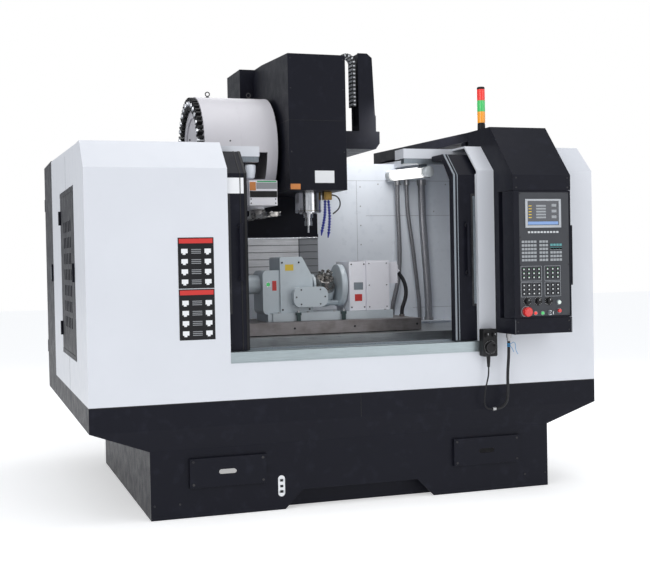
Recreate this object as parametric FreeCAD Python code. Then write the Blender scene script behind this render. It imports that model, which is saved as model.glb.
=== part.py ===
import FreeCAD, Part
import math
import os

os.makedirs("parts", exist_ok=True)

V = FreeCAD.Vector
X_AXIS = V(1, 0, 0)
Y_AXIS = V(0, 1, 0)
Z_AXIS = V(0, 0, 1)

# Driving dimensions in mm. X is to the operator's right, Y goes back, Z is up.
# Everything is laid out with y = 0 on the front sheet of the enclosure, and save() then
# moves it so that the origin lies on the floor under the middle of the base.
half_width = 1550.0
body_depth = 2000.0
sheet = 12.0

base_half_width = 1225.0
base_front = 20.0
base_back = 1950.0
base_centre_y = (base_front + base_back) / 2
base_top = 380.0
base_wall = 8.0

pan_bottom_band = 500.0
pan_top = 640.0
front_top = 1930.0
roof_height = 2090.0
chamfer_run = 165.0
front_strip_back = 340.0

door_half_opening = 765.0
pillar_outer = 875.0
sill_top = 905.0

door_bottom = 912.0
door_front = 34.0
door_depth = 46.0
door_top_back = 330.0
left_door_edge = -645.0
right_door_edge = 620.0
door_length = 780.0

wall_front = 1566.0
wall_top = 2108.0

column_front = 1580.0
column_back = 1985.0
column_half_width = 280.0
column_top = 2762.0

spindle_y = 938.0
nose_bottom = 1724.0
head_cover_front = 700.0
head_cover_half = 192.0
head_cover_bottom = 1858.0
head_cover_top = 2719.0
head_cover_rise = 30.0

table_front = 630.0
table_depth = 600.0
table_half_length = 660.0
table_bottom = 949.0
table_top = 1025.0

saddle_front = 500.0
saddle_back = 1338.0
saddle_cover_top = 944.0

tilt_y = 920.0
tilt_z = 1244.0
tilt_angle = 34.0

drum_y = 1195.0
drum_z = 2150.0
drum_radius = 345.0
drum_left = -700.0
drum_right = -222.0
arm_x = -345.0

panel_left = 877.0
panel_right = 1253.0
panel_bottom = 1048.0
panel_top = 1794.0
panel_front = -240.0
panel_back = -105.0
panel_hinge = (889.0, -228.0)

faceplate_bore = 12.5
air_inlet_radius = 8.5


def save(shape, node):
    moved = shape.copy()
    moved.translate(V(0, -base_centre_y, 0))
    moved.exportStep("parts/" + node + ".step")
    print(node, "solids", len(moved.Solids), "valid", moved.isValid(), "volume", round(moved.Volume / 1e6, 2))


def box(x0, x1, y0, y1, z0, z1):
    return Part.makeBox(x1 - x0, y1 - y0, z1 - z0, V(x0, y0, z0))


def rod(x, y, z, radius, length, axis):
    return Part.makeCylinder(radius, length, V(x, y, z), axis)


def side_profile(points, x0, x1):
    """A solid whose outline in the Y-Z plane is swept from x0 to x1."""
    corners = [V(x0, y, z) for y, z in points]
    face = Part.Face(Part.makePolygon(corners + corners[:1]))
    return face.extrude(V(x1 - x0, 0, 0))


def front_profile(points, y0, y1):
    """A solid whose outline in the X-Z plane is swept from y0 to y1."""
    corners = [V(x, y0, z) for x, z in points]
    face = Part.Face(Part.makePolygon(corners + corners[:1]))
    return face.extrude(V(0, y1 - y0, 0))


def fuse(shapes):
    joined = shapes[0]
    for shape in shapes[1:]:
        joined = joined.fuse(shape)
    return joined.removeSplitter()


def cut(shape, holes):
    for hole in holes:
        shape = shape.cut(hole)
    return shape


def group(shapes):
    return Part.makeCompound(shapes)


def mirror_x(shape):
    return shape.mirror(V(0, 0, 0), X_AXIS)


def fillet_edges(shape, radius, wanted):
    edges = [edge for edge in shape.Edges if wanted(edge)]
    return shape.makeFillet(radius, edges)


def upright(edge):
    start, end = edge.Vertexes[0].Point, edge.Vertexes[-1].Point
    return abs(start.x - end.x) < 1e-6 and abs(start.y - end.y) < 1e-6


def tube(points, diameter, label):
    """A cord: straight runs joined by tangent arcs, as large as the two runs allow."""
    corners = [V(*p) for p in points]
    edges = []
    start = corners[0]
    radii = []
    for before, corner, after in zip(corners, corners[1:], corners[2:]):
        into = (corner - before).normalize()
        out = (after - corner).normalize()
        turn = into.getAngle(out)
        shorter = min((corner - before).Length, (after - corner).Length)
        reach = 0.45 * shorter
        radius = reach / math.tan(turn / 2)
        radii.append(round(radius))
        arc_start = corner - into * reach
        arc_end = corner + out * reach
        bisector = (out - into).normalize()
        centre = corner + bisector * (radius / math.cos(turn / 2))
        middle = centre - bisector * radius
        edges.append(Part.LineSegment(start, arc_start).toShape())
        edges.append(Part.Arc(arc_start, middle, arc_end).toShape())
        start = arc_end
    edges.append(Part.LineSegment(start, corners[-1]).toShape())
    path = Part.Wire(edges)
    into = (corners[1] - corners[0]).normalize()
    ring = Part.Wire([Part.Circle(corners[0], into, diameter / 2).toShape()])
    solid = path.makePipeShell([ring], True, False)
    expected = math.pi * diameter ** 2 / 4 * path.Length
    print(label, "length", round(path.Length), "radii", radii, "volume ratio", round(solid.Volume / expected, 4))
    return solid


# --- base, bed and chip pan ------------------------------------------------------------

notch = [(-460, -1), (-355, 105), (355, 105), (460, -1)]
access_cover_x = [(-1010.0, -572.0), (586.0, 1024.0)]
access_cover_z = (166.0, 328.0)
finger_slot_length = 100.0
finger_slot_height = 26.0


def base_tank():
    shell = box(-base_half_width, base_half_width, base_front, base_back, 0, base_top)
    inside = box(-base_half_width + base_wall, base_half_width - base_wall,
                 base_front + base_wall, base_back - base_wall, -1, base_top - base_wall)
    shell = shell.cut(inside)
    bed_hole = box(-470, 470, 145, bed_back + 2, base_top - 20, base_top + 20)
    recess_wall = box(-480, 480, base_front + 90, base_front + 98, 0, base_top - base_wall + 1)
    shell = cut(shell, [bed_hole, front_profile(notch, base_front - 5, base_front + 20)])
    shell = shell.fuse(recess_wall)
    low, high = access_cover_z
    for left, right in access_cover_x:
        shell = shell.cut(box(left + 30, right - 30, base_front - 5, base_front + 20, low + 25, high - 25))
    return shell


def access_covers():
    """Two hung trays with a finger slot each, over the openings in the front of the base."""
    covers = []
    low, high = access_cover_z
    middle = (low + high) / 2
    for left, right in access_cover_x:
        tray = box(left, right, 0, base_front, low, high)
        tray = tray.cut(box(left + 3, right - 3, 4, base_front + 1, low + 3, high - 3))
        centre = (left + right) / 2 - 4
        half = finger_slot_length / 2 - finger_slot_height / 2
        slot = box(centre - half, centre + half, -1, 6, middle - finger_slot_height / 2,
                   middle + finger_slot_height / 2)
        for end in (centre - half, centre + half):
            slot = slot.fuse(rod(end, -1, middle, finger_slot_height / 2, 7, Y_AXIS))
        covers.append(tray.cut(slot))
    return group(covers)


bed_front = 150.0
bed_back = 1940.0
bed_half = 430.0
bed_top = 560.0
way_top = 700.0
rail_top = 745.0
rail_x = 262.0
anchor_x = 500.0
anchor_dy = 650.0
anchor_hole = 11.0


def bed_casting():
    bed = box(-bed_half, bed_half, bed_front, bed_back, 0, bed_top)
    heel = box(-column_half_width, column_half_width, bed_back - 50, column_back, 508, bed_top)
    ways = box(-330, 330, bed_front + 30, column_front - 60, bed_top, way_top)
    parts = [bed, ways, heel]
    for side in (-1, 1):
        rail = box(side * rail_x - 22.5, side * rail_x + 22.5, bed_front + 40, 1500, way_top, rail_top)
        parts.append(rail)
    for sx in (-1, 1):
        for sy in (-1, 1):
            y = base_centre_y + sy * anchor_dy
            lug = box(min(sx * 425, sx * 560), max(sx * 425, sx * 560), y - 60, y + 60, 0, 40)
            parts.append(lug)
    casting = fuse(parts)
    trough = box(-180, 180, bed_front + 50, 1440, way_top - 90, way_top + 1)
    holes = [trough]
    for sx in (-1, 1):
        for sy in (-1, 1):
            holes.append(rod(sx * anchor_x, base_centre_y + sy * anchor_dy, -1, anchor_hole, 42, Z_AXIS))
    return cut(casting, holes)


def rectangle(x, y0, y1, z):
    corners = [V(-x, y0, z), V(x, y0, z), V(x, y1, z), V(-x, y1, z)]
    return Part.makePolygon(corners + corners[:1])


def chip_pan():
    """The wide black tray: an upright band over a taper that runs in to the base."""
    wall = 6.0
    taper = Part.makeLoft([rectangle(base_half_width, base_front, base_back, base_top),
                           rectangle(half_width, 0, body_depth, pan_bottom_band)], True, True)
    band = box(-half_width, half_width, 0, body_depth, pan_bottom_band, pan_top)
    outer = taper.fuse(band)
    inner_taper = Part.makeLoft([rectangle(base_half_width - wall, base_front + wall, base_back - wall,
                                           base_top + wall),
                                 rectangle(half_width - wall, wall, body_depth - wall, pan_bottom_band + wall)],
                                True, True)
    inner_band = box(-half_width + wall, half_width - wall, wall, body_depth - wall,
                     pan_bottom_band + wall, pan_top + 1)
    pan = cut(outer, [inner_taper, inner_band])
    bed_hole = box(-bed_half - 6, bed_half + 6, bed_front - 6, bed_back + 3, base_top - 1, base_top + wall + 1)
    return pan.cut(bed_hole)


# --- enclosure -----------------------------------------------------------------------------

def front_sheet(x0, x1):
    """Front wall, chamfer and top strip of one side of the enclosure, as one folded sheet."""
    t = sheet
    k = t * 0.42
    outline = [(0, pan_top), (0, front_top), (chamfer_run, roof_height), (front_strip_back, roof_height),
               (front_strip_back, roof_height - t), (chamfer_run + k, roof_height - t), (t, front_top - k),
               (t, pan_top)]
    return side_profile(outline, x0, x1)


def left_front_panel():
    panel = front_sheet(-half_width, -door_half_opening)
    jamb = box(-door_half_opening - 4, -door_half_opening, sheet - 1, 30, sill_top, front_top - 20)
    return fuse([panel, jamb])


def right_front_panel():
    panel = front_sheet(door_half_opening, half_width)
    jamb = box(door_half_opening, door_half_opening + 4, sheet - 1, 30, sill_top, front_top - 20)
    hanger = box(780, 826, -12, 1, 880, 960)
    return fuse([panel, jamb, hanger])


def front_sill():
    wall = box(-door_half_opening, door_half_opening, 0, sheet, pan_top, sill_top)
    shelf = box(-door_half_opening, door_half_opening, 0, 130, sill_top - 6, sill_top)
    inner = box(-door_half_opening, door_half_opening, 124, 130, 720, sill_top)
    return fuse([wall, shelf, inner])


vent_y = (545.0, 1395.0)
vent_z = (850.0, 1870.0)


def side_outline():
    return [(sheet, pan_top), (sheet, front_top - 6), (chamfer_run + 6, roof_height - sheet),
            (front_strip_back, roof_height - sheet), (front_strip_back, roof_height), (body_depth, roof_height + 50),
            (body_depth, pan_top)]


def side_panels():
    """Left and right outer walls. The left one has the opening that the vent door closes."""
    left = side_profile(side_outline(), -half_width, -half_width + sheet)
    right = side_profile(side_outline(), half_width - sheet, half_width)
    opening = box(-half_width - 1, -half_width + sheet + 1, vent_y[0] - 4, vent_y[1] + 4, vent_z[0] - 4,
                  vent_z[1] + 4)
    return group([left.cut(opening), right])


def vent_door():
    """Louvred service door in the left wall: seven rows of upright slots."""
    door = box(-half_width + 1, -half_width + 1 + sheet, vent_y[0], vent_y[1], vent_z[0], vent_z[1])
    slots = []
    rows = 7
    columns = 5
    pitch_z = 98.0
    pitch_y = 96.0
    for row in range(rows):
        for column in range(columns):
            y = (vent_y[0] + vent_y[1]) / 2 + (column - (columns - 1) / 2) * pitch_y
            z = 1352 + (row - (rows - 1) / 2) * pitch_z
            slots.append(box(-half_width - 1, -half_width + 2 + sheet, y - 22, y + 22, z - 33, z + 33))
    door = cut(door, slots)
    latch = box(-half_width - 14, -half_width + 2, vent_y[0] + 20, vent_y[0] + 50, 1310, 1420)
    knuckles = [rod(-half_width - 6, vent_y[1] - 6, z, 8, 90, Z_AXIS) for z in (960, 1670)]
    return fuse([door, latch] + knuckles)


def roof_panels():
    """Side roofs, rising slightly to the back, and the two short strips over the doors."""
    band = [(front_strip_back, roof_height - sheet), (front_strip_back, roof_height),
            (body_depth, roof_height + 50), (body_depth, roof_height + 50 - sheet)]
    flange = [(front_strip_back, roof_height - 46), (front_strip_back, roof_height - sheet + 2),
              (body_depth - 13, roof_height + 51 - sheet), (body_depth - 13, roof_height + 4)]
    right = side_profile(band, pillar_outer, half_width - sheet)
    right = right.fuse(side_profile(flange, pillar_outer, pillar_outer + 4))
    strip_right = box(435, pillar_outer, front_strip_back, 480, 2030, roof_height)
    strip_right = strip_right.cut(box(439, pillar_outer + 1, front_strip_back + 4, 481, 2020, roof_height - 4))
    strip_left = box(-pillar_outer, -485, front_strip_back, 480, 2030, roof_height)
    strip_left = strip_left.cut(box(-pillar_outer - 1, -489, front_strip_back + 4, 481, 2020, roof_height - 4))
    return group([right.fuse(strip_right), mirror_x(right).fuse(strip_left)])


def roof_duct():
    """Dark cable duct on the right roof, from the operator housing to the rear cabinet."""
    outline = [(341, 2142), (341, 2196), (body_depth - 6, 2228), (body_depth - 6, 2146)]
    outer = side_profile(outline, pillar_outer, pillar_outer + 180)
    feet = [box(pillar_outer + 20, pillar_outer + 160, y, y + 60, roof_height + 50 * (y - 340) / 1660 + 2,
                2150) for y in (420, 1180, 1880)]
    return fuse([outer] + feet)


def cabin_liner():
    """White inner back wall with the slot for the head, its hose shelf and hose manifold."""
    inner = half_width - sheet - 2
    wall = box(-inner, inner, wall_front, wall_front + 10, pan_top + 10, wall_top)
    wall = wall.cut(box(-200, 200, wall_front - 1, wall_front + 11, 1300, wall_top + 1))
    wall = wall.cut(box(-bed_half - 6, bed_half + 6, wall_front - 1, wall_front + 11, 600, way_top + 30))
    wall = wall.cut(box(-421, -265, wall_front - 1, wall_front + 11, 1763, 1797))
    for x in (-pillar_outer - 5, pillar_outer - 1):
        wall = wall.cut(box(x, x + 6, wall_front - 1, wall_front + 11, 2078, 2112))
    lower_cover = box(-262, 262, wall_front - 8, wall_front + 1, way_top + 32, 1290)
    shelf = box(760, 1300, 1448, wall_front + 2, 950, 956)
    manifold = box(800, 1130, 1480, wall_front + 2, 1990, 2046)
    return group([fuse([wall, lower_cover, shelf, manifold])] + chip_trays())


def chip_trays():
    """Sloping floor of the cabin, one tray each side of the bed, draining to the front."""
    outline = [(134, 700), (1562, 800), (1562, 794), (134, 694)]
    inner = half_width - sheet - 2
    return [side_profile(outline, 440, inner), side_profile(outline, -inner, -440)]


def back_panel():
    panel = box(-half_width + sheet + 2, half_width - sheet - 2, body_depth - 12, body_depth - 1, pan_top,
                roof_height + 36)
    inlets = []
    inlets.append(rod(700, body_depth - 20, 900, air_inlet_radius, 80, Y_AXIS))
    boss = rod(700, body_depth - 1, 900, 24, 31, Y_AXIS)
    return cut(panel.fuse(boss), inlets)


def door_track():
    """Guide rails for the doors: one under each roof strip and one behind the sill."""
    right = box(439, pillar_outer, 344, 392, 1998, roof_height - 4)
    left = box(-pillar_outer, -489, 344, 392, 1998, roof_height - 4)
    bottom = box(-1440, 1430, 86, 120, sill_top, sill_top + 14)
    return group([right, left, bottom])


def door(x0, x1, handle_x):
    """Sliding door: front leaf, chamfer and top, with a window opening and a bow handle."""
    y0 = door_front
    y1 = door_front + door_depth
    top = 2040.0
    outline = [(y0, door_bottom), (y0, 1905), (172, 2040), (door_top_back, top), (door_top_back, top - 30),
               (186, top - 30), (y1, 1880), (y1, door_bottom)]
    leaf = side_profile(outline, x0, x1)
    window = box(x0 + 130, x1 - 110, y0 - 1, y1 + 1, 1130, 1780)
    rebate = box(x0 + 118, x1 - 98, y0 + 18, y0 + 26, 1118, 1792)
    leaf = cut(leaf, [window, rebate])
    grip = rod(handle_x, y0 - 24, 1300, 10, 325, Z_AXIS)
    posts = [rod(handle_x, y0 - 24, z, 9, 26, Y_AXIS) for z in (1320, 1605)]
    return fuse([leaf, grip] + posts)


def window(x0, x1):
    y0 = door_front
    return box(x0 + 120, x1 - 100, y0 + 19, y0 + 25, 1120, 1790)


# --- column, head and spindle ---------------------------------------------------------------

def column():
    body = box(-column_half_width, column_half_width, column_front, column_back - 30, bed_top, column_top)
    rails = [box(x - 20, x + 20, column_front - 20, column_front + 1, 1302, 2640) for x in (-150, 150)]
    return fuse([body] + rails)


def spindle_head():
    """Head casting with the round nose that the spindle turns in."""
    body = box(-165, 165, 790, 1540, 1872, 2360)
    back = box(-178, 178, 1400, 1544, 1872, 2500)
    nose = rod(0, spindle_y, nose_bottom, 87, 160, Z_AXIS)
    step = rod(0, spindle_y, nose_bottom - 8, 58, 10, Z_AXIS)
    trucks = []
    for x in (-145, 145):
        for z in (1880, 2180):
            truck = box(x - 32, x + 32, 1543, 1574, z, z + 100)
            groove_x = x * 150 / 145
            trucks.append(truck.cut(box(groove_x - 20.3, groove_x + 20.3, 1559.7, 1575, z - 1, z + 101)))
    casting = fuse([body, nose, step, back] + trucks)
    bore = rod(0, spindle_y, nose_bottom - 10, 40.05, 171, Z_AXIS)
    return casting.cut(bore)


def head_cover():
    half = head_cover_half
    back = 1540.0
    low, high = head_cover_bottom, head_cover_top
    outline = [(head_cover_front, low), (head_cover_front, high), (1320, high + head_cover_rise),
               (back, high + head_cover_rise), (back, low)]
    hollow = [(head_cover_front + 4, low + 4), (head_cover_front + 4, high - 4),
              (1320, high + head_cover_rise - 4), (back + 1, high + head_cover_rise - 4), (back + 1, low - 1),
              (1396, low - 1), (1396, low + 4)]
    shell = side_profile(outline, -half, half).cut(side_profile(hollow, -half + 4, half - 4))
    nose_hole = rod(0, spindle_y, low - 1, 95, 8, Z_AXIS)
    channel = [box(half, half + 46, y, y + 4, 2300, high) for y in (880, 976)]
    return fuse([shell.cut(nose_hole)] + channel)


def tool_spindle():
    """Spindle shaft with the tool holder in it and a short drill in its nut."""
    shaft = rod(0, spindle_y, nose_bottom, 40, 154, Z_AXIS)
    flange = rod(0, spindle_y, 1692, 31.5, 8, Z_AXIS)
    groove = rod(0, spindle_y, 1699, 27, 7, Z_AXIS)
    upper = rod(0, spindle_y, 1705, 31.5, 20, Z_AXIS)
    neck = rod(0, spindle_y, 1668, 22, 25, Z_AXIS)
    nut = rod(0, spindle_y, 1640, 25, 29, Z_AXIS)
    drill = rod(0, spindle_y, 1594, 7, 47, Z_AXIS)
    return fuse([shaft, upper, groove, flange, neck, nut, drill])


def nozzle(points, radius):
    pieces = []
    for start, end in zip(points, points[1:]):
        a, b = V(*start), V(*end)
        pieces.append(Part.makeCylinder(radius, (b - a).Length, a, b - a))
        pieces.append(Part.makeSphere(radius * 1.02, b))
    return fuse(pieces)


def coolant_nozzles():
    """Brass block under the head with two jointed coolant nozzles."""
    block = box(92, 146, 874, 926, 1806, 1858)
    first = nozzle([(104, 892, 1810), (103, 889, 1740), (94, 888, 1670), (78, 890, 1604)], 8.5)
    second = nozzle([(131, 906, 1810), (135, 902, 1740), (137, 900, 1670), (128, 902, 1590)], 8.5)
    return fuse([block, first, second])


def z_cover():
    """Apron that hides the column: black plate above, steel slats below, moving with the head."""
    plate = box(-262, 262, 1548, 1556, 1270, 2300)
    rib = box(-262, 262, 1536, 1549, 1570, 1600)
    hole = box(-184, 184, 1547, 1557, 1872, 2301)
    return cut(fuse([plate, rib]), [hole])


def cable_chain():
    """Energy chain: up from the head, over a half turn, and down the post."""
    inner = 37.0
    outer = 65.0
    y0, y1 = 888.0, 972.0
    centre_x = 271.0
    arch_z = 2706.0
    ring = Part.makeCylinder(outer, y1 - y0, V(centre_x, y0, arch_z), Y_AXIS)
    ring = ring.cut(Part.makeCylinder(inner, y1 - y0 + 2, V(centre_x, y0 - 1, arch_z), Y_AXIS))
    ring = ring.cut(box(centre_x - 100, centre_x + 100, y0 - 1, y1 + 1, arch_z - 100, arch_z))
    left = box(centre_x - outer, centre_x - inner, y0, y1, 2400, arch_z + 0.5)
    right = box(centre_x + inner, centre_x + outer, y0, y1, 2410, arch_z + 0.5)
    return fuse([ring, left, right])


def chain_post():
    """Guide post for the energy chain, on a bracket from the column."""
    post = front_profile([(342, 2256), (342, 2771), (407, 2771), (441, 2742), (457, 2366), (463, 2360),
                          (463, 2256)], 868, 1010)
    groove = box(341, 349, 884, 976, 2300, 2772)
    base = front_profile([(244, 2141), (244, 2258), (487, 2258), (487, 2179), (459, 2141)], 868, 1400)
    arm = box(268, 459, 1390, column_front, 2141, 2258)
    foot = box(column_half_width, 400, column_front - 4, column_front + 120, 2141, 2258)
    return fuse([post.cut(groove), base, arm, foot])


# --- tool changer -----------------------------------------------------------------------------

def magazine_cover():
    """Round cover of the tool magazine, open where tools come out at the bottom and front."""
    width = drum_right - drum_left
    outer = rod(drum_left, drum_y, drum_z, drum_radius, width, X_AXIS)
    inside = rod(drum_left + 5, drum_y, drum_z, drum_radius - 5, width - 10, X_AXIS)
    shell = outer.cut(inside)
    window = box(drum_left + 60, -292, drum_y - drum_radius - 10, drum_y - 150, 1942, 2108)
    lower = box(drum_left + 60, -292, drum_y - 90, drum_y + 90, drum_z - drum_radius - 5, drum_z - 250)
    shell = cut(shell, [window, lower])
    bracket = box(-640, -520, drum_y + 318, wall_front, 1990, 2100)
    bracket = bracket.cut(rod(drum_left + 5, drum_y, drum_z, drum_radius - 5, width - 10, X_AXIS))
    axle = rod(drum_left + 2, drum_y, drum_z, 30, 240, X_AXIS)
    return fuse([shell, bracket, axle])


def carousel():
    """Tool wheel: a rim of pockets round a hub that turns on the cover's axle."""
    x0 = -640.0
    hub = rod(x0, drum_y, drum_z, 70, 90, X_AXIS)
    plate = rod(x0 + 30, drum_y, drum_z, 240, 26, X_AXIS)
    parts = [hub, plate]
    pockets = 20
    for i in range(pockets):
        a = 2 * math.pi * i / pockets
        parts.append(rod(x0 + 22, drum_y + 262 * math.cos(a), drum_z + 262 * math.sin(a), 33, 120, X_AXIS))
    wheel = fuse(parts)
    bores = [rod(x0 - 1, drum_y, drum_z, 30.06, 100, X_AXIS)]
    for i in range(pockets):
        a = 2 * math.pi * i / pockets
        bores.append(rod(x0 + 60, drum_y + 262 * math.cos(a), drum_z + 262 * math.sin(a), 22, 90, X_AXIS))
    return cut(wheel, bores)


def changer_gearbox():
    """Cam box of the tool changer, hung from a beam that reaches back to the column."""
    front = box(-440, -258, 762, 928, 1764, 1922)
    rear = box(-440, -258, 926, 1110, 1764, 1796)
    beam = box(-420, -266, 1100, column_front, 1764, 1796)
    boss = rod(arm_x, spindle_y, 1746, 46, 20, Z_AXIS)
    body = fuse([front, rear, beam, boss])
    slot = rod(arm_x, spindle_y, 1740, 22.06, 60, Z_AXIS)
    return body.cut(slot)


def change_arm():
    """Double arm with a gripping fork at each end, seen parked fore and aft."""
    reach = -arm_x
    low = 1688.0
    hub = rod(arm_x, spindle_y, low, 52, 52, Z_AXIS)
    shaft = rod(arm_x, spindle_y, 1735, 22, 56, Z_AXIS)
    beam = box(arm_x - 30, arm_x + 30, spindle_y - reach + 30, spindle_y + reach - 30, low, low + 20)
    parts = [hub, shaft, beam]
    for side in (-1, 1):
        parts.append(rod(arm_x, spindle_y + side * reach, low, 66, 24, Z_AXIS))
    arm = fuse(parts)
    for side in (-1, 1):
        y = spindle_y + side * reach
        arm = arm.cut(rod(arm_x, y, 1680, 44, 60, Z_AXIS))
        mouth = box(0, 84, -48, 44, 1680, 1740)
        if side > 0:
            mouth = box(-84, 0, -44, 48, 1680, 1740)
        mouth.translate(V(arm_x, y, 0))
        arm = arm.cut(mouth)
    return arm


# --- saddle, table and the tilting rotary unit ---------------------------------------------------

def saddle():
    body = box(-420, 420, saddle_front + 60, saddle_back - 60, 790, 900)
    trucks = []
    for x in (-rail_x, rail_x):
        for y in (saddle_front + 70, saddle_back - 230):
            truck = box(x - 45, x + 45, y, y + 150, way_top + 14, 792)
            trucks.append(truck.cut(box(x - 22.8, x + 22.8, y - 1, y + 151, way_top, rail_top + 0.3)))
    wing = box(-668, 668, 700, 1180, 850, 900)
    rails = [box(-660, 660, y - 20, y + 20, 899, 932) for y in (790, 1070)]
    return fuse([body, wing] + trucks + rails)


def saddle_cover():
    """Folded guard on the saddle: a front apron with a ledge, and a top over each end."""
    t = 5.0
    half = 1440.0
    front = box(-half, half, saddle_front, saddle_front + t, 812, saddle_cover_top)
    ledge = box(-half, half, saddle_front, 622, saddle_cover_top - t, saddle_cover_top)
    back = box(-half, half, saddle_back - t, saddle_back, 830, saddle_cover_top)
    shelf = box(-half, half, 1262, saddle_back, saddle_cover_top - t, saddle_cover_top)
    parts = [front, ledge, back, shelf]
    for side in (-1, 1):
        x0, x1 = sorted((side * 676, side * half))
        parts.append(box(x0, x1, saddle_front, saddle_back, saddle_cover_top - t, saddle_cover_top))
        x0, x1 = sorted((side * 670, side * 677))
        parts.append(box(x0, x1, saddle_front, saddle_back, 830, saddle_cover_top))
    return fuse(parts)


def table():
    """Work table with five T-slots and, below it, the trucks that run on the saddle's rails."""
    top = box(-table_half_length, table_half_length, table_front, table_front + table_depth, table_bottom,
              table_top)
    slots = []
    for i in range(5):
        y = table_front + table_depth / 2 + (i - 2) * 110
        slots.append(box(-700, 700, y - 9, y + 9, table_top - 30, table_top + 1))
        slots.append(box(-700, 700, y - 15, y + 15, table_top - 30, table_top - 18))
    top = cut(top, slots)
    trucks = []
    for x in (-200, 200):
        for y in (790, 1070):
            truck = box(x - 60, x + 60, y - 42, y + 42, 906, table_bottom + 1)
            trucks.append(truck.cut(box(x - 61, x + 61, y - 20.3, y + 20.3, 900, 932.3)))
    union = rod(633, 892, table_top - 1, 18, 15, Z_AXIS)
    return fuse([top, union] + trucks)


def rotary_body():
    """Main housing of the tilting rotary unit on its base plate, with motor and front cover."""
    plate = box(-300, 520, 770, 1070, table_top, 1078)
    main = front_profile([(-240, 1070), (-240, 1436), (-92, 1436), (-22, 1304), (-22, 1070)], 800, 1050)
    main = fillet_edges(main, 12, lambda e: abs(e.Length - 250) < 1 and e.CenterOfMass.z > 1200)
    end = box(-352, -238, 812, 1040, 1070, 1352)
    end = fillet_edges(end, 30, lambda e: abs(e.Length - 228) < 1 and e.CenterOfMass.x < -300)
    motor = rod(-452, 930, 1262, 62, 102, X_AXIS)
    cap = rod(-470, 930, 1262, 48, 20, X_AXIS)
    cover = box(-168, 60, 742, 801, 1114, 1242)
    cover = fillet_edges(cover, 44, lambda e: abs(e.Length - 59) < 1)
    bearing = rod(-24, tilt_y, tilt_z, 82, 14, X_AXIS)
    bearing = bearing.fuse(rod(-12, tilt_y, tilt_z, 34, 12, X_AXIS))
    foot_left = box(-330, -238, 780, 1060, table_top, 1072)
    unit = fuse([plate, main, end, motor, cap, cover, bearing, foot_left])
    for x in (-256, -60, 118, 470):
        unit = unit.cut(rod(x, 786, table_top - 1, 6.5, 60, Z_AXIS))
    return unit


def rotary_drive_box():
    """Right-hand drive of the tilt axis: gear housing, cabinet cover and end box."""
    housing = box(226, 342, 790, 1060, 1079, 1398)
    housing = fillet_edges(housing, 10, lambda e: upright(e))
    cabinet = box(342, 500, 782, 1066, 1079, 1404)
    end = box(500, 580, 830, 1030, 1250, 1392)
    stub = rod(214, tilt_y, tilt_z, 30, 14, X_AXIS)
    elbow = box(579, 606, 882, 918, 1334, 1372)
    hose_start = V(*table_hose_route[0])
    slant = (V(*table_hose_route[1]) - hose_start).normalize()
    union = Part.makeCylinder(17, 20, hose_start - slant * 20, slant)
    return fuse([housing, cabinet, end, stub, elbow, union])


def tilted(shape):
    turned = shape.copy()
    turned.rotate(V(0, tilt_y, tilt_z), X_AXIS, tilt_angle)
    return turned


cradle_left = 0.5
cradle_right = 213.5
face_x = 92.0


def tilt_cradle():
    """Cradle between the two bearings, with the round drive that carries the faceplate."""
    left_plate = rod(cradle_left, tilt_y, tilt_z, 78, 16, X_AXIS)
    right_disc = rod(178, tilt_y, tilt_z, 138, cradle_right - 178, X_AXIS)
    trough = rod(cradle_left + 4, tilt_y, tilt_z, 132, 180, X_AXIS)
    trough = trough.cut(rod(cradle_left + 16, tilt_y, tilt_z, 104, 161.5, X_AXIS))
    trough = trough.cut(box(-20, 176, tilt_y - 200, tilt_y + 200, tilt_z - 60, tilt_z + 200))
    trough = trough.cut(box(-20, 176, tilt_y - 200, tilt_y - 108, tilt_z - 200, tilt_z + 200))
    trough = trough.cut(box(-20, 176, tilt_y + 108, tilt_y + 200, tilt_z - 200, tilt_z + 200))
    web = box(cradle_left, cradle_left + 16, tilt_y - 78, tilt_y + 78, tilt_z - 100, tilt_z)
    drive = rod(face_x, tilt_y, tilt_z - 118, 76, 106, Z_AXIS)
    cradle = fuse([left_plate, right_disc, trough, web, drive])
    seat = rod(face_x, tilt_y, tilt_z - 60, 20.05, 60, Z_AXIS)
    left_bore = rod(cradle_left - 1, tilt_y, tilt_z, 34.3, 14, X_AXIS)
    right_bore = rod(cradle_right - 14, tilt_y, tilt_z, 30.3, 16, X_AXIS)
    return tilted(cut(cradle, [seat, left_bore, right_bore]))


def faceplate():
    """Rotary faceplate with a three-jaw chuck on it and a pattern of tapped holes."""
    low = tilt_z - 11.5
    disc = rod(face_x, tilt_y, low, 74, 26, Z_AXIS)
    shaft = rod(face_x, tilt_y, low - 40, 20, 42, Z_AXIS)
    chuck = rod(face_x, tilt_y, low + 25, 60, 52, Z_AXIS)
    chuck = chuck.makeChamfer(5, [e for e in chuck.Edges if abs(e.CenterOfMass.z - low - 77) < 1])
    jaws = []
    for i in range(3):
        jaw = box(14, 52, -12, 12, low + 75, low + 104)
        step = box(14, 34, -12, 12, low + 103, low + 122)
        jaw = jaw.fuse(step)
        jaw.rotate(V(0, 0, 0), Z_AXIS, 30 + 120 * i)
        jaw.translate(V(face_x, tilt_y, 0))
        jaws.append(jaw)
    plate = fuse([disc, shaft, chuck] + jaws)
    bore = rod(face_x, tilt_y, low + 40, faceplate_bore, 60, Z_AXIS)
    plate = plate.cut(bore)
    return tilted(plate)


# --- operator station --------------------------------------------------------------------------

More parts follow.
